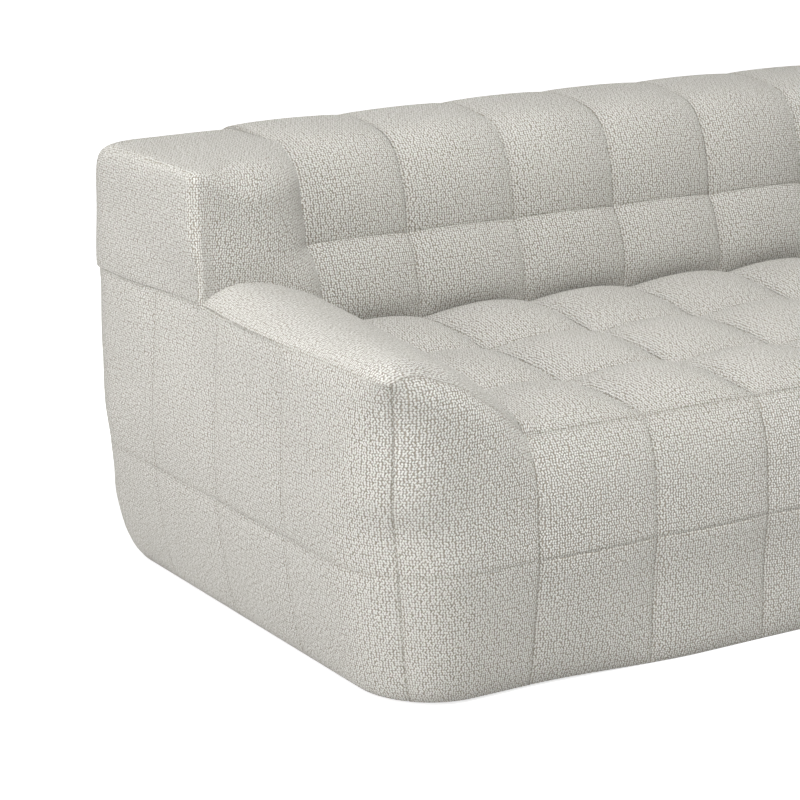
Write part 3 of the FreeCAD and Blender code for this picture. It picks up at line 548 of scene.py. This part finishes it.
def side():
    """Four columns of panels on the outer side. The last, at the rear corner, is flatter."""
    crown, corner_crown = 9.0, 3.0
    across, up = cells(4, 22), cells(2, 22)
    heights = two_rows(up, SIDE_TOP)
    base = np.zeros((len(across[0]), len(heights), 3))
    for j, z in enumerate(heights):
        for k, run in enumerate(side_line(z)):
            mine = across[0] == k
            base[mine, j, :2] = along(run, across[1][mine])
        base[:, j, 2] = z
    full = np.where(across[0] == 3, corner_crown, crown)[:, None]
    grid, across, up = finish_grid(base, across, up, full, (3, 5), cap=2.5, groove=0.8, outward=-1)
    inner = inward(grid, -1, WALL, SIDE_TOP - 6)
    quilted("side_panels_left", "side_border_left", grid, across, up, inner,
            mirror=("side_panels_right", "side_border_right"), faint=1.1)


def rear():
    """A column of panels for each of the back's, and one round each rear corner, which is flatter."""
    crown, corner_crown = 9.0, 4.0
    across, up = cells(COLUMNS + 2, 18), cells(2, 20)
    heights = two_rows(up, SIDE_TOP)
    turn = np.linspace(math.pi / 4, math.pi / 2, CORNER_POINTS)
    base = np.zeros((len(across[0]), len(heights), 3))
    for j, z in enumerate(heights):
        inset, radius, face = side_inset(z), rear_radius(z), DEPTH - rear_inset(z)
        arc = np.stack([inset + radius - radius * np.cos(turn), face - radius + radius * np.sin(turn)], -1)
        first = np.vstack([arc, [[ARM, face]]])
        last = first[::-1] * [-1, 1] + [LENGTH, 0]
        base[:, j, 0] = ARM + PITCH * (across[0] - 1 + across[1])
        base[:, j, 1] = face
        for corner, line in ((0, first), (COLUMNS + 1, last)):
            mine = across[0] == corner
            base[mine, j, :2] = along(line, across[1][mine])
        base[:, j, 2] = z
    full = np.where(np.isin(across[0], (0, COLUMNS + 1)), corner_crown, crown)[:, None]
    grid, across, up = finish_grid(base, across, up, full, (3, 2), cap=2.5, groove=0.8, outward=-1)
    inner = inward(grid, -1, WALL, SIDE_TOP - 6)
    quilted("rear_panels", "rear_border", grid, across, up, inner, faint=0.8)


# Arms
def arm_edge():
    """The arm's front top seam, from the corner seam to the seat."""
    corner = front_line(SIDE_TOP)[0]
    return rounded([(*corner, SIDE_TOP), (23, 16, 498), (38, 18, 501), (64, 20, 499), (97, 20, 487),
                    (130, 20, 474), (164, 22, 452), (201, 27, 427), (234, 35, 399), (ARM + 3, 44, 378)])


def arm_front():
    """Two rows of one panel, from the corner to the seat. Over the middle seam it leans to the top seam."""
    crown, thick, below_seam = 9.0, 50, 30
    across, up = cells(1, 30), cells(2, 22)
    top = along(arm_edge(), across[1])
    base = np.zeros((len(top), len(up[0]), 3))
    for i, (tip, share) in enumerate(zip(top, across[1])):
        far = step(tip[0], 170, ARM)
        reach, power = 38 + 70 * far, 2.0 + 0.6 * far
        pull = tip[:2] - along(front_line(tip[2]), [share])[0]
        for j, z in enumerate(two_rows(up, tip[2])):
            place = along(front_line(z), [share])[0]
            if z > MID:
                sideways = ((z - MID) / (tip[2] - MID)) ** 2
                place = place + pull * [sideways, max(0, 1 - (tip[2] - z) / reach) ** power]
            base[i, j] = (*place, z)
    grid, across, up = finish_grid(base, across, up, crown, (6, 0), cap=4, groove=0.8)
    inner = inward(grid, 1, thick, 0)
    inner[:, 0, 2] = grid[:, -1, 2] - below_seam
    quilted("arm_face_left", "arm_front_left", grid, across, up, inner, anchor=len(up[0]) // 2,
            mirror=("arm_face_right", "arm_front_right"), faint=0.9)


# Sections over the arm: distance from the front plane, and (along, up) from the outer seam to the seat
ARM_STATIONS = (
    (34, [(4, 494), (15, 503), (34, 509.5), (64, 507.5), (97, 496.5), (130, 482.5), (163, 461),
          (199, 436), (230, 411), (247, 395), (258, 378)]),
    (60, [(3, 494), (14, 507), (36, 516), (64, 515), (97, 505), (130, 491), (163, 470), (197, 448),
          (228, 426), (245, 410), (255, 391), (261, 376)]),
    (130, [(1, 494), (13, 507), (36, 515), (62, 517), (94, 511), (126, 501), (158, 485), (192, 464),
           (225, 441), (244, 421), (254, 398), (258, 384)]),
    (300, [(-1, 494), (13, 507), (34, 514), (60, 518), (90, 515), (120, 508), (152, 497), (187, 481),
           (221, 459), (242, 436), (254, 408), (258, 390)]),
    (470, [(5, 494), (18, 510), (37, 521), (60, 526), (88, 525), (118, 519), (152, 508), (187, 493),
           (222, 469), (243, 444), (253, 416), (258, 394)]),
    (540, [(13, 494), (24, 511), (40, 522), (62, 527), (86, 527), (117, 522), (152, 511), (187, 497),
           (223, 473), (243, 447), (253, 419), (258, 396)]),
    (568, [(15, 494), (25, 505), (41, 512), (62, 516), (86, 516), (116, 512), (150, 501), (185, 487),
           (220, 464), (240, 439), (251, 414), (257, 396)]),
    (596, [(15, 488), (25, 494), (41, 498), (62, 500), (86, 500), (116, 496), (150, 486), (185, 472),
           (218, 450), (237, 426), (248, 402), (255, 390)]),
)


def arm_top():
    """The pad over the arm, from its front seam back into the end block."""
    edge_place, front_share = 18.0, 0.38
    along_arm, over = cells(1, 56, 0.5), cells(1, 34, 0.45)
    edge = along(arm_edge(), over[1])
    lines, places = [edge], [edge_place]
    for place, section in ARM_STATIONS:
        flat = along(rounded(section), over[1])
        lines.append(np.stack([flat[:, 0], np.full(len(flat), float(place)), flat[:, 1]], -1))
        places.append(float(place))
    lines = np.array(lines)
    # The line next to the front seam stays between the seam and the line behind it
    lines[1, :, 1] = edge[:, 1] + front_share * (places[2] - edge[:, 1])
    spots = places[0] + (places[-1] - places[0]) * along_arm[1]
    base = np.zeros((len(spots), len(over[1]), 3))
    for i in range(len(over[1])):
        for axis in range(3):
            base[:, i, axis] = ease(spots, list(zip(places, lines[:, i, axis])))
    grid, across, up = finish_grid(base, along_arm, over, 1.5, (0, 0), cap=4, groove=0, outward=-1,
                                   fullness=0.5)
    inner = np.stack([np.stack([np.full(len(grid), a), grid[:, -1, 1], grid[:, -1, 2] - dz], -1)
                      for a, dz in ((225.0, 12.0), (60.0, -20.0))], 1)
    inner[:, :, 1] = np.linspace(62, 590, len(grid))[:, None]
    quilted("arm_cushion_left", "arm_pad_left", grid, across, up, inner,
            mirror=("arm_cushion_right", "arm_pad_right"), faint=0.9)


# End blocks: rings round the walls and over the rounded edge and the top to its middle line. The radius
# of the inner front corner goes by height; the outline is drawn with BASE_RADIUS and then corrected.
WALL_RINGS, EDGE_RINGS, TOP_RINGS = 26, 9, 14
BASE_RADIUS, MIDDLE_LINE, ROLL_FROM = 120, 125.0, 850
INNER_CORNER = [(460, 72), (494, 84), (512, 95), (548, 128), (565, 136), (592, 143), (650, 156), (700, 165)]
FRONT, REAR, OUTER = 0, 1, 2


def block_outline(inner_radius):
    """Points of the block's level outline from its front outer seam round to it again, and each one's
    face: FRONT with the inside, REAR or OUTER. The count doesn't depend on the radius."""
    outer, inner, near, far = BLOCK_OUTER, BLOCK_INNER, float(BLOCK_FRONT), BLOCK_REAR
    small, large, behind = SMALL_CORNER, inner_radius, REAR_CORNER

    def arc(a, b, radius, start, stop, many):
        turn = np.radians(np.linspace(start, stop, many + 1)[:-1])
        return np.stack([a + radius * np.cos(turn), b + radius * np.sin(turn)], -1)

    def line(start, stop, many, crowd=0.0):
        share = cells(1, many, crowd)[1][:-1, None]
        return np.array(start, float) + (np.array(stop, float) - start) * share

    runs = [
        (FRONT, arc(outer + small, near + small, small, 225, 270, 5)),
        (FRONT, line((outer + small, near), (inner - large, near), 12)),
        (FRONT, arc(inner - large, near + large, large, 270, 360, 26)),
        (FRONT, line((inner, near + large), (inner, far), 22)),
        (REAR, line((inner, far), (outer + behind, far), 14)),
        (REAR, arc(outer + behind, far - behind, behind, 90, 135, 7)),
        (OUTER, arc(outer + behind, far - behind, behind, 135, 180, 7)),
        (OUTER, line((outer, far - behind), (outer, near + small), 30, 0.5)),
        (OUTER, arc(outer + small, near + small, small, 180, 225, 5)),
    ]
    face = np.concatenate([np.full(len(points), kind) for kind, points in runs] + [[OUTER]])
    points = np.vstack([points for _, points in runs] + [runs[0][1][:1]])
    return points, face


def block_grid(line, face):
    """The block's surface before it is blown up: a column for each point of the outline, rings upward."""
    wide, tight = 170, 70
    grow = (block_outline(wide)[0] - block_outline(tight)[0]) / (wide - tight)
    tangent = np.roll(line[:-1], -1, 0) - np.roll(line[:-1], 1, 0)
    tangent = np.vstack([tangent, tangent[:1]])
    tangent /= np.linalg.norm(tangent, axis=1, keepdims=True)
    out = np.stack([tangent[:, 1], -tangent[:, 0]], -1)
    run = lengths(line)
    starts = [run[np.flatnonzero(face == k)[0]] for k in (FRONT, REAR, OUTER)] + [run[-1]]
    place = run - np.array(starts)[face]
    share = place / np.diff(starts)[face]
    a, b = line.T
    # Radius of the top edge: tight along the outer side and beside the back, soft along the front
    radius = np.where(face == FRONT, 16 + 42 * step(a, 16, 120), 16 + 14 * step(b, 780, 960))
    radius = np.where((face == FRONT) & (b > 640), 58 - 48 * step(b, 640, 720), radius)
    radius = np.where(face == REAR, 10 + 20 * step(-a, -240, -90), radius)
    # The walls start at the side's seam, and lower where the arm runs in
    sunk = SIDE_TOP - 90 * step(place, 2, 40) + 86 * step(share, 0.93, 1.0)
    low = np.where(face == FRONT, sunk, float(SIDE_TOP))
    panel = bulge(share, 0.9) * (face == OUTER) * 5 + bulge(share, 0.9) * (face == REAR) * 5
    panel += (face == FRONT) * 5 * (1 - np.exp(-place / 22)) * (1 - step(share, 0.45, 0.7))
    grid = np.zeros((len(line), WALL_RINGS + EDGE_RINGS + TOP_RINGS + 1, 3))
    for j, t in enumerate(cells(1, WALL_RINGS, 0.5)[1]):
        z = low + (BLOCK_TOP - radius - low) * t
        rise = np.where(face == REAR, bulge(np.clip(t * 0.6, 0, 1), 0.5), 1 - 0.3 * t)
        rise = np.where(face == OUTER, bulge(t, 0.5), rise)
        pinch = 4 * np.exp(-((z - 552) / 10) ** 2) * (face == FRONT) * step(share, 0.25, 0.42)
        raised = out * (panel * rise - pinch)[:, None]
        grid[:, j, :2] = line + grow * (ease(z, INNER_CORNER) - BASE_RADIUS)[:, None] + raised
        seam = (face == OUTER) * (side_seam(b) - BLOCK_OUTER)
        grid[:, j, 0] += seam * (1 - step(z, SIDE_TOP, SIDE_TOP + 110))
        grid[:, j, 1] += 10 * step(z, 500, 640) * step(-b, -720, -600)
        grid[:, j, 0] += 4 * step(b, 650, 720) * ((face == FRONT) & (a > BLOCK_INNER - 30))
        grid[:, j, 2] = z
    last = grid[:, WALL_RINGS].copy()
    for j in range(1, EDGE_RINGS + 1):
        turn = j / EDGE_RINGS * math.pi / 2
        grid[:, WALL_RINGS + j, :2] = last[:, :2] - out * (radius * (1 - math.cos(turn)))[:, None]
        grid[:, WALL_RINGS + j, 2] = BLOCK_TOP - radius * (1 - math.sin(turn))
    rim = grid[:, WALL_RINGS + EDGE_RINGS].copy()
    spine = np.clip(rim[:, 1], BLOCK_FRONT + 125, DEPTH - 115)
    middle = np.stack([np.full(len(line), MIDDLE_LINE), spine], -1)
    for j in range(1, TOP_RINGS + 1):
        t = j / TOP_RINGS
        grid[:, WALL_RINGS + EDGE_RINGS + j, :2] = rim[:, :2] + (middle - rim[:, :2]) * t
        grid[:, WALL_RINGS + EDGE_RINGS + j, 2] = BLOCK_TOP + 4 * (1 - (1 - t) ** 2.2)
    # The rear top edge rolls over as the back's does
    over = ease(grid[..., 2], [(494, BACK_FACE), (640, BACK_FACE), (660, 974), (680, 960), (692, 940),
                               (700, 906), (706, 880)])
    behind = np.clip(grid[..., 1] - ROLL_FROM, 0, None)
    rolled = ROLL_FROM + behind * (over - ROLL_FROM) / (BACK_FACE - ROLL_FROM)
    grid[..., 1] = np.where(grid[..., 1] > ROLL_FROM, rolled, grid[..., 1])
    return grid


def block_held(face, shape):
    """True at the points of the block that the cloth doesn't move: its seams, foot and top."""
    held = np.zeros(shape, bool)
    held[[0, -1]] = held[:, 0] = True
    held[:, WALL_RINGS + EDGE_RINGS // 2:] = True
    held[face == OUTER, WALL_RINGS] = True
    held[np.flatnonzero(np.diff(face)) + 1] = True
    return held


def block():
    """The end block's cover, as one closed skin with a hem turned in under the walls."""
    top_shift = 109
    line, face = block_outline(BASE_RADIUS)
    grid = block_grid(line, face)
    grid = blown(grid, block_held(face, grid.shape[:2]), 1, cap=3)
    grid[-1] = grid[0]
    grid = finer(grid)
    grid[-1] = grid[0]
    rings = grid.shape[1]
    # Seams up the front outer edge and the rear corner. The faces' first lines, doubled by finer()
    behind_back, rear_corner = 2 * (np.flatnonzero(np.diff(face) == 1) + 1)
    near = seam_distance(grid, [0, len(grid) - 1, rear_corner], 0)
    near[:, 2 * (WALL_RINGS + EDGE_RINGS // 2):] = HIDDEN
    foot = seam_distance(grid, [0], 1)
    depth = np.exp(-(near / FURROW) ** 2) * step(foot, 0, FURROW_END)
    surface = normals(grid)
    joined = surface[0] + surface[-1]
    surface[0] = surface[-1] = joined / np.maximum(np.linalg.norm(joined, axis=-1, keepdims=True), 1e-9)
    grid = grid - surface * depth[..., None]
    # The weave runs round the walls from the front seam both ways, and over the top as up the front
    around, upward = runs_of(grid)
    around[behind_back:] -= around[-1:]
    wall_uv = np.stack([around, upward + grid[:, :1, 2]], -1)
    top_uv = grid[..., :2] + [0, top_shift]
    hem = grid[:, 0] - np.concatenate([surface[:, 0, :2], np.zeros((len(grid), 1))], 1) * WALL
    points = np.concatenate([grid.reshape(-1, 3), hem])
    ids = np.arange(len(grid) * rings).reshape(len(grid), rings)
    quads = quads_of(ids)
    extra = len(grid) * rings + np.arange(len(grid))
    skirt = np.stack([extra[:-1], extra[1:], ids[1:, 0], ids[:-1, 0]], -1)
    faces = quads.reshape(-1, 4).tolist() + skirt.tolist() + [extra[:-1][::-1].tolist()]
    on_wall = np.arange(rings - 1) < 2 * WALL_RINGS + EDGE_RINGS
    on_wall = np.repeat(on_wall[None], len(grid) - 1, 0).reshape(-1, 1, 1)
    on_top, round_walls = [uv.reshape(-1, 2)[quads.reshape(-1, 4)] for uv in (top_uv, wall_uv)]
    loops = np.where(on_wall, round_walls, on_top).reshape(-1, 2)
    skirt_uv = np.zeros((4 * len(skirt) + len(extra) - 1, 2))
    facts = np.stack([near + 1.0, upward], -1).reshape(-1, 2)
    facts = np.concatenate([facts, np.full((len(extra), 2), HIDDEN)])
    loop_uv = np.concatenate([loops, skirt_uv])
    mesh = mesh_of("end_block_cover_left", points, faces, None, facts, loop_uv)
    welded(mesh)
    add("end_block_cover_left", mesh, "end_block_left")
    add("end_block_cover_right", mirrored_mesh(mesh, "end_block_cover_right"), "end_block_right")


def welded(mesh):
    """Joins points that lie on each other, and turns all faces outward."""
    work = bmesh.new()
    work.from_mesh(mesh)
    bmesh.ops.remove_doubles(work, verts=work.verts, dist=2e-6)
    bmesh.ops.recalc_face_normals(work, faces=work.faces)
    work.to_mesh(mesh)
    work.free()
    mesh.polygons.foreach_set("use_smooth", np.ones(len(mesh.polygons), bool))


# Materials
class Nodes:
    """Short ways to make the nodes of one material."""

    def __init__(self, name):
        self.material = bpy.data.materials.new(name)
        self.material.use_nodes = True
        self.tree = self.material.node_tree
        self.shader = self.tree.nodes["Principled BSDF"]

    def add(self, kind, **settings):
        node = self.tree.nodes.new(kind)
        for key, value in settings.items():
            setattr(node, key, value)
        return node

    def put(self, value, socket):
        if hasattr(value, "is_linked"):
            self.tree.links.new(value, socket)
        else:
            socket.default_value = value

    def math(self, operation, *values):
        node = self.add("ShaderNodeMath", operation=operation)
        for value, socket in zip(values, node.inputs):
            self.put(value, socket)
        return node.outputs[0]

    def mix(self, share, low, high):
        node = self.add("ShaderNodeMix", data_type="RGBA")
        self.put(share, node.inputs[0])
        self.put(low, node.inputs[6])
        self.put(high, node.inputs[7])
        return node.outputs[2]

    def range(self, value, low, high, to_low=0.0, to_high=1.0, kind="SMOOTHSTEP"):
        node = self.add("ShaderNodeMapRange", interpolation_type=kind)
        for v, socket in zip((value, low, high, to_low, to_high), node.inputs):
            self.put(v, socket)
        return node.outputs[0]

    def split(self, vector):
        node = self.add("ShaderNodeSeparateXYZ")
        self.put(vector, node.inputs[0])
        return node.outputs

    def vector(self, operation, *values):
        node = self.add("ShaderNodeVectorMath", operation=operation)
        for value, socket in zip(values, node.inputs):
            self.put(value, socket)
        return node.outputs["Value" if operation == "LENGTH" else "Vector"]

    def noise(self, vector, scale, detail=2.0, rough=0.5, output=0):
        node = self.add("ShaderNodeTexNoise")
        self.put(vector, node.inputs["Vector"])
        for key, value in (("Scale", scale), ("Detail", detail), ("Roughness", rough)):
            node.inputs[key].default_value = value
        return node.outputs[output]

    def waves(self, length, period):
        return self.math("SINE", self.math("MULTIPLY", length, 2 * math.pi / period))

    def shade(self, values):
        for name, value in values.items():
            self.put(value, self.shader.inputs[name])

    def bump(self, height, distance, strength=1.0):
        node = self.add("ShaderNodeBump")
        node.inputs["Strength"].default_value = strength
        node.inputs["Distance"].default_value = distance
        self.put(height, node.inputs["Height"])
        self.put(node.outputs[0], self.shader.inputs["Normal"])

    def place(self):
        return self.add("ShaderNodeTexCoord").outputs["Object"]


def fabric():
    """The looped cover: oval nubs in uneven rows over dark gaps, stitched seams, and painted shade beside
    them.
    """
    n = Nodes("boucle_fabric")
    along_weave, up_weave, _ = n.split(n.add("ShaderNodeUVMap", uv_map="weave").outputs[0])
    place = n.place()
    rows = n.math("DIVIDE", up_weave, NUB_ROW)
    sway = n.math("MULTIPLY", n.math("COSINE", n.math("MULTIPLY", rows, math.pi)), NUB_SWAY)
    grid = n.add("ShaderNodeCombineXYZ")
    n.put(n.math("ADD", n.math("DIVIDE", along_weave, NUB_PITCH), sway), grid.inputs[0])
    n.put(rows, grid.inputs[1])
    wander = n.noise(grid.outputs[0], 0.35, output="Color")
    spot = n.vector("MULTIPLY_ADD", wander, (NUB_WANDER, NUB_WANDER, 0), grid.outputs[0])
    nubs = n.add("ShaderNodeTexVoronoi", voronoi_dimensions="2D", feature="F1")
    n.put(spot, nubs.inputs["Vector"])
    nubs.inputs["Scale"].default_value = 1.0
    nubs.inputs["Randomness"].default_value = 0.42
    size_tone, dull_tone, _ = n.split(nubs.outputs["Color"])
    size = n.range(size_tone, 0.0, 1.0, 0.50, 0.60, "LINEAR")
    oval = n.vector("MULTIPLY", n.vector("SUBTRACT", spot, nubs.outputs["Position"]), NUB_SHAPE)
    nub = n.range(n.vector("LENGTH", oval), size, NUB_CORE)
    fibre = n.noise(place, 900.0, 3.0, 0.7)
    broad = n.noise(place, 9.0, 3.0, 0.6)
    colour = n.mix(nub, GAP_COLOUR, NUB_COLOUR)
    colour = n.mix(n.range(dull_tone, 0.0, 1.0, 0.0, 0.30, "LINEAR"), colour, DULL_NUB)
    colour = n.mix(n.range(fibre, 0.35, 0.75, 0.0, 0.22), colour, GAP_COLOUR)
    colour = n.mix(n.range(broad, 0.3, 0.7, 0.0, 0.10), colour, DULL_NUB)
    # Seams: a dark line, darker where a stitch pulls in, and painted shade in a soft band beside each seam
    away, along_seam, _ = n.split(n.add("ShaderNodeAttribute", attribute_name="seam").outputs["Vector"])
    line = n.range(away, 0.4, 2.0, 1.0, 0.0)
    dark = n.math("MULTIPLY", line, n.range(n.waves(along_seam, STITCH), -0.6, 0.6, 0.05, 0.30))
    # Painted shade: up to 14% of the gap colour, fading out over 1 to 10 mm from each seam, stands in for
    # the shade in the seams' creases
    colour = n.mix(n.range(away, 1.0, 10.0, 0.14, 0.0), colour, GAP_COLOUR)
    colour = n.mix(dark, colour, SEAM_COLOUR)
    n.shade({"Base Color": colour, "Roughness": 0.92, "Specular IOR Level": 0.2, "Sheen Weight": 0.12,
             "Sheen Roughness": 0.6})
    height = n.math("ADD", nub, n.math("MULTIPLY", fibre, 0.35))
    height = n.math("SUBTRACT", height, n.math("MULTIPLY", dark, 0.8))
    n.bump(height, 0.0040, 1.0)
    return n.material


def grained(name, light, dark, plies=False):
    """Timber, or plywood with its layers, with long grain and a little wear."""
    n = Nodes(name)
    place = n.place()
    stretched = n.vector("MULTIPLY", place, (3.0, 22.0, 60.0))
    grain = n.noise(stretched, 2.0, 6.0, 0.6)
    fine = n.noise(stretched, 14.0, 2.0, 0.5)
    colour = n.mix(n.range(grain, 0.35, 0.65), light, dark)
    colour = n.mix(n.range(fine, 0.5, 0.8, 0.0, 0.35), colour, dark)
    height = n.math("ADD", grain, n.math("MULTIPLY", fine, 0.5))
    if plies:
        layers = n.waves(n.split(place)[2], 0.006)
        colour = n.mix(n.range(layers, 0.2, 0.8, 0.0, 0.25), colour, dark)
    n.shade({"Base Color": colour, "Roughness": 0.65})
    n.bump(height, 0.0006, 0.6)
    return n.material


def fibrous(name, light, dark, scale, weave=0.0, rough=0.9):
    """Foam, felt, cloth and webbing: a mottled soft surface, woven where weave is its thread pitch."""
    n = Nodes(name)
    place = n.place()
    cloud = n.noise(place, 12.0, 4.0, 0.6)
    grains = n.noise(place, scale, 3.0, 0.65)
    height = grains
    colour = n.mix(n.range(cloud, 0.3, 0.7, 0.0, 0.5), light, dark)
    colour = n.mix(n.range(grains, 0.4, 0.7, 0.0, 0.5), colour, dark)
    if weave:
        lengthwise, deep, upright = [n.waves(axis, weave) for axis in n.split(place)]
        threads = n.math("MULTIPLY", n.math("ADD", lengthwise, upright), deep)
        height = n.math("ADD", grains, n.math("MULTIPLY", threads, 0.4))
        colour = n.mix(n.range(threads, 0.0, 1.0, 0.0, 0.4), colour, dark)
    n.shade({"Base Color": colour, "Roughness": rough, "Sheen Weight": 0.1})
    n.bump(height, 0.0012, 0.7)
    return n.material


def hard(name, light, dark, metal, rough):
    """Spring steel or moulded plastic, with fine scratches or grain."""
    n = Nodes(name)
    place = n.place()
    cloud = n.noise(place, 30.0, 3.0, 0.6)
    fine = n.noise(place, 700.0, 2.0, 0.6)
    worn = n.range(cloud, 0.2, 0.8, rough - 0.08, rough + 0.08)
    colour = n.mix(n.range(cloud, 0.3, 0.7), light, dark)
    n.shade({"Base Color": colour, "Roughness": worn, "Metallic": metal})
    n.bump(fine, 0.0003, 0.4)
    return n.material


def dress_nodes():
    """Gives each carried-over CAD node the finish of what it is made of."""
    made = {
        "timber": grained("timber_grain", (0.56, 0.38, 0.21, 1), (0.38, 0.23, 0.11, 1)),
        "plywood": grained("plywood_grain", (0.60, 0.44, 0.26, 1), (0.42, 0.28, 0.15, 1), True),
        "foam": fibrous("foam_cells", (0.86, 0.82, 0.66, 1), (0.74, 0.68, 0.48, 1), 420.0),
        "felt": fibrous("felt_fibre", (0.26, 0.26, 0.27, 1), (0.15, 0.15, 0.16, 1), 260.0),
        "dust": fibrous("dust_cloth_weave", (0.035, 0.035, 0.035, 1), (0.015, 0.015, 0.015, 1), 300.0,
                        0.002),
        "webbing": fibrous("webbing_weave", (0.34, 0.26, 0.16, 1), (0.22, 0.16, 0.09, 1), 300.0, 0.004),
        "steel": hard("spring_steel", (0.45, 0.46, 0.48, 1), (0.34, 0.35, 0.37, 1), 1.0, 0.38),
        "plastic": hard("glide_plastic", (0.03, 0.03, 0.03, 1), (0.018, 0.018, 0.018, 1), 0.0, 0.5),
    }
    kinds = (("foam", "foam"), ("felt", "felt"), ("dust", "dust"), ("webbing", "webbing"),
             ("glides", "plastic"), ("spring", "steel"), ("clips", "steel"), ("bolts", "steel"),
             ("panel", "plywood"), ("_board", "plywood"))
    for name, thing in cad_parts.items():
        kind = next((k for word, k in kinds if word in name), "timber")
        thing.data.materials.clear()
        thing.data.materials.append(made[kind])


# Floor, light and camera
def seen_directly(tree):
    """1 for what the camera sees, directly or in a gloss, and 0 for light on the object."""
    rays = tree.nodes.new("ShaderNodeLightPath")
    seen = tree.nodes.new("ShaderNodeMath")
    seen.operation = "MAXIMUM"
    tree.links.new(rays.outputs["Is Camera Ray"], seen.inputs[0])
    tree.links.new(rays.outputs["Is Glossy Ray"], seen.inputs[1])
    return seen.outputs[0]


def pale_floor():
    bpy.ops.mesh.primitive_plane_add(size=60, location=(0, 0, 0))
    floor = bpy.context.object
    floor.name = "studio_floor"
    n = Nodes("pale_floor")
    glow = n.math("MULTIPLY", seen_directly(n.tree), FLOOR_LIFT)
    n.shade({"Base Color": (FLOOR_COLOUR, FLOOR_COLOUR, FLOOR_COLOUR, 1), "Roughness": 0.9,
             "Specular IOR Level": 0.1, "Emission Color": (1, 1, 1, 1), "Emission Strength": glow})
    floor.data.materials.append(n.material)


def white_world():
    world = bpy.data.worlds.new("studio")
    bpy.context.scene.world = world
    world.use_nodes = True
    tree = world.node_tree
    back_light = tree.nodes["Background"]
    back_light.inputs["Color"].default_value = (1, 0.995, 0.98, 1)
    strength = tree.nodes.new("ShaderNodeMix")
    tree.links.new(seen_directly(tree), strength.inputs[0])
    strength.inputs[2].default_value = WORLD_LIGHT
    strength.inputs[3].default_value = 1.0
    tree.links.new(strength.outputs[0], back_light.inputs["Strength"])


def aim(thing, place, gaze):
    """Puts a lamp or the camera in its place, looking along gaze."""
    thing.location = place
    thing.rotation_mode = "QUATERNION"
    thing.rotation_quaternion = gaze.to_track_quat("-Z", "Y")
    bpy.context.scene.collection.objects.link(thing)


def studio():
    pale_floor()
    white_world()
    for name, place, target, size, watts in LAMPS:
        light = bpy.data.lights.new(name, "AREA")
        light.shape = "SQUARE"
        light.size = size
        light.energy = watts
        aim(bpy.data.objects.new(name, light), place, Vector(target) - Vector(place))

    camera = bpy.data.cameras.new("photo_camera")
    camera.lens, camera.sensor_width = LENS, SENSOR
    camera.clip_start, camera.clip_end = 0.1, 100
    eye = bpy.data.objects.new("photo_camera", camera)
    yaw, down = math.radians(YAW), math.radians(PITCH_DOWN)
    aim(eye, EYE, Vector((math.sin(yaw) * math.cos(down), math.cos(yaw) * math.cos(down), -math.sin(down))))
    bpy.context.scene.camera = eye
    bpy.context.scene.view_settings.view_transform = "Standard"


# Building everything
fabric_material = fabric()
dress_nodes()
seat()
front()
back()
side()
rear()
arm_front()
arm_top()
block()
studio()
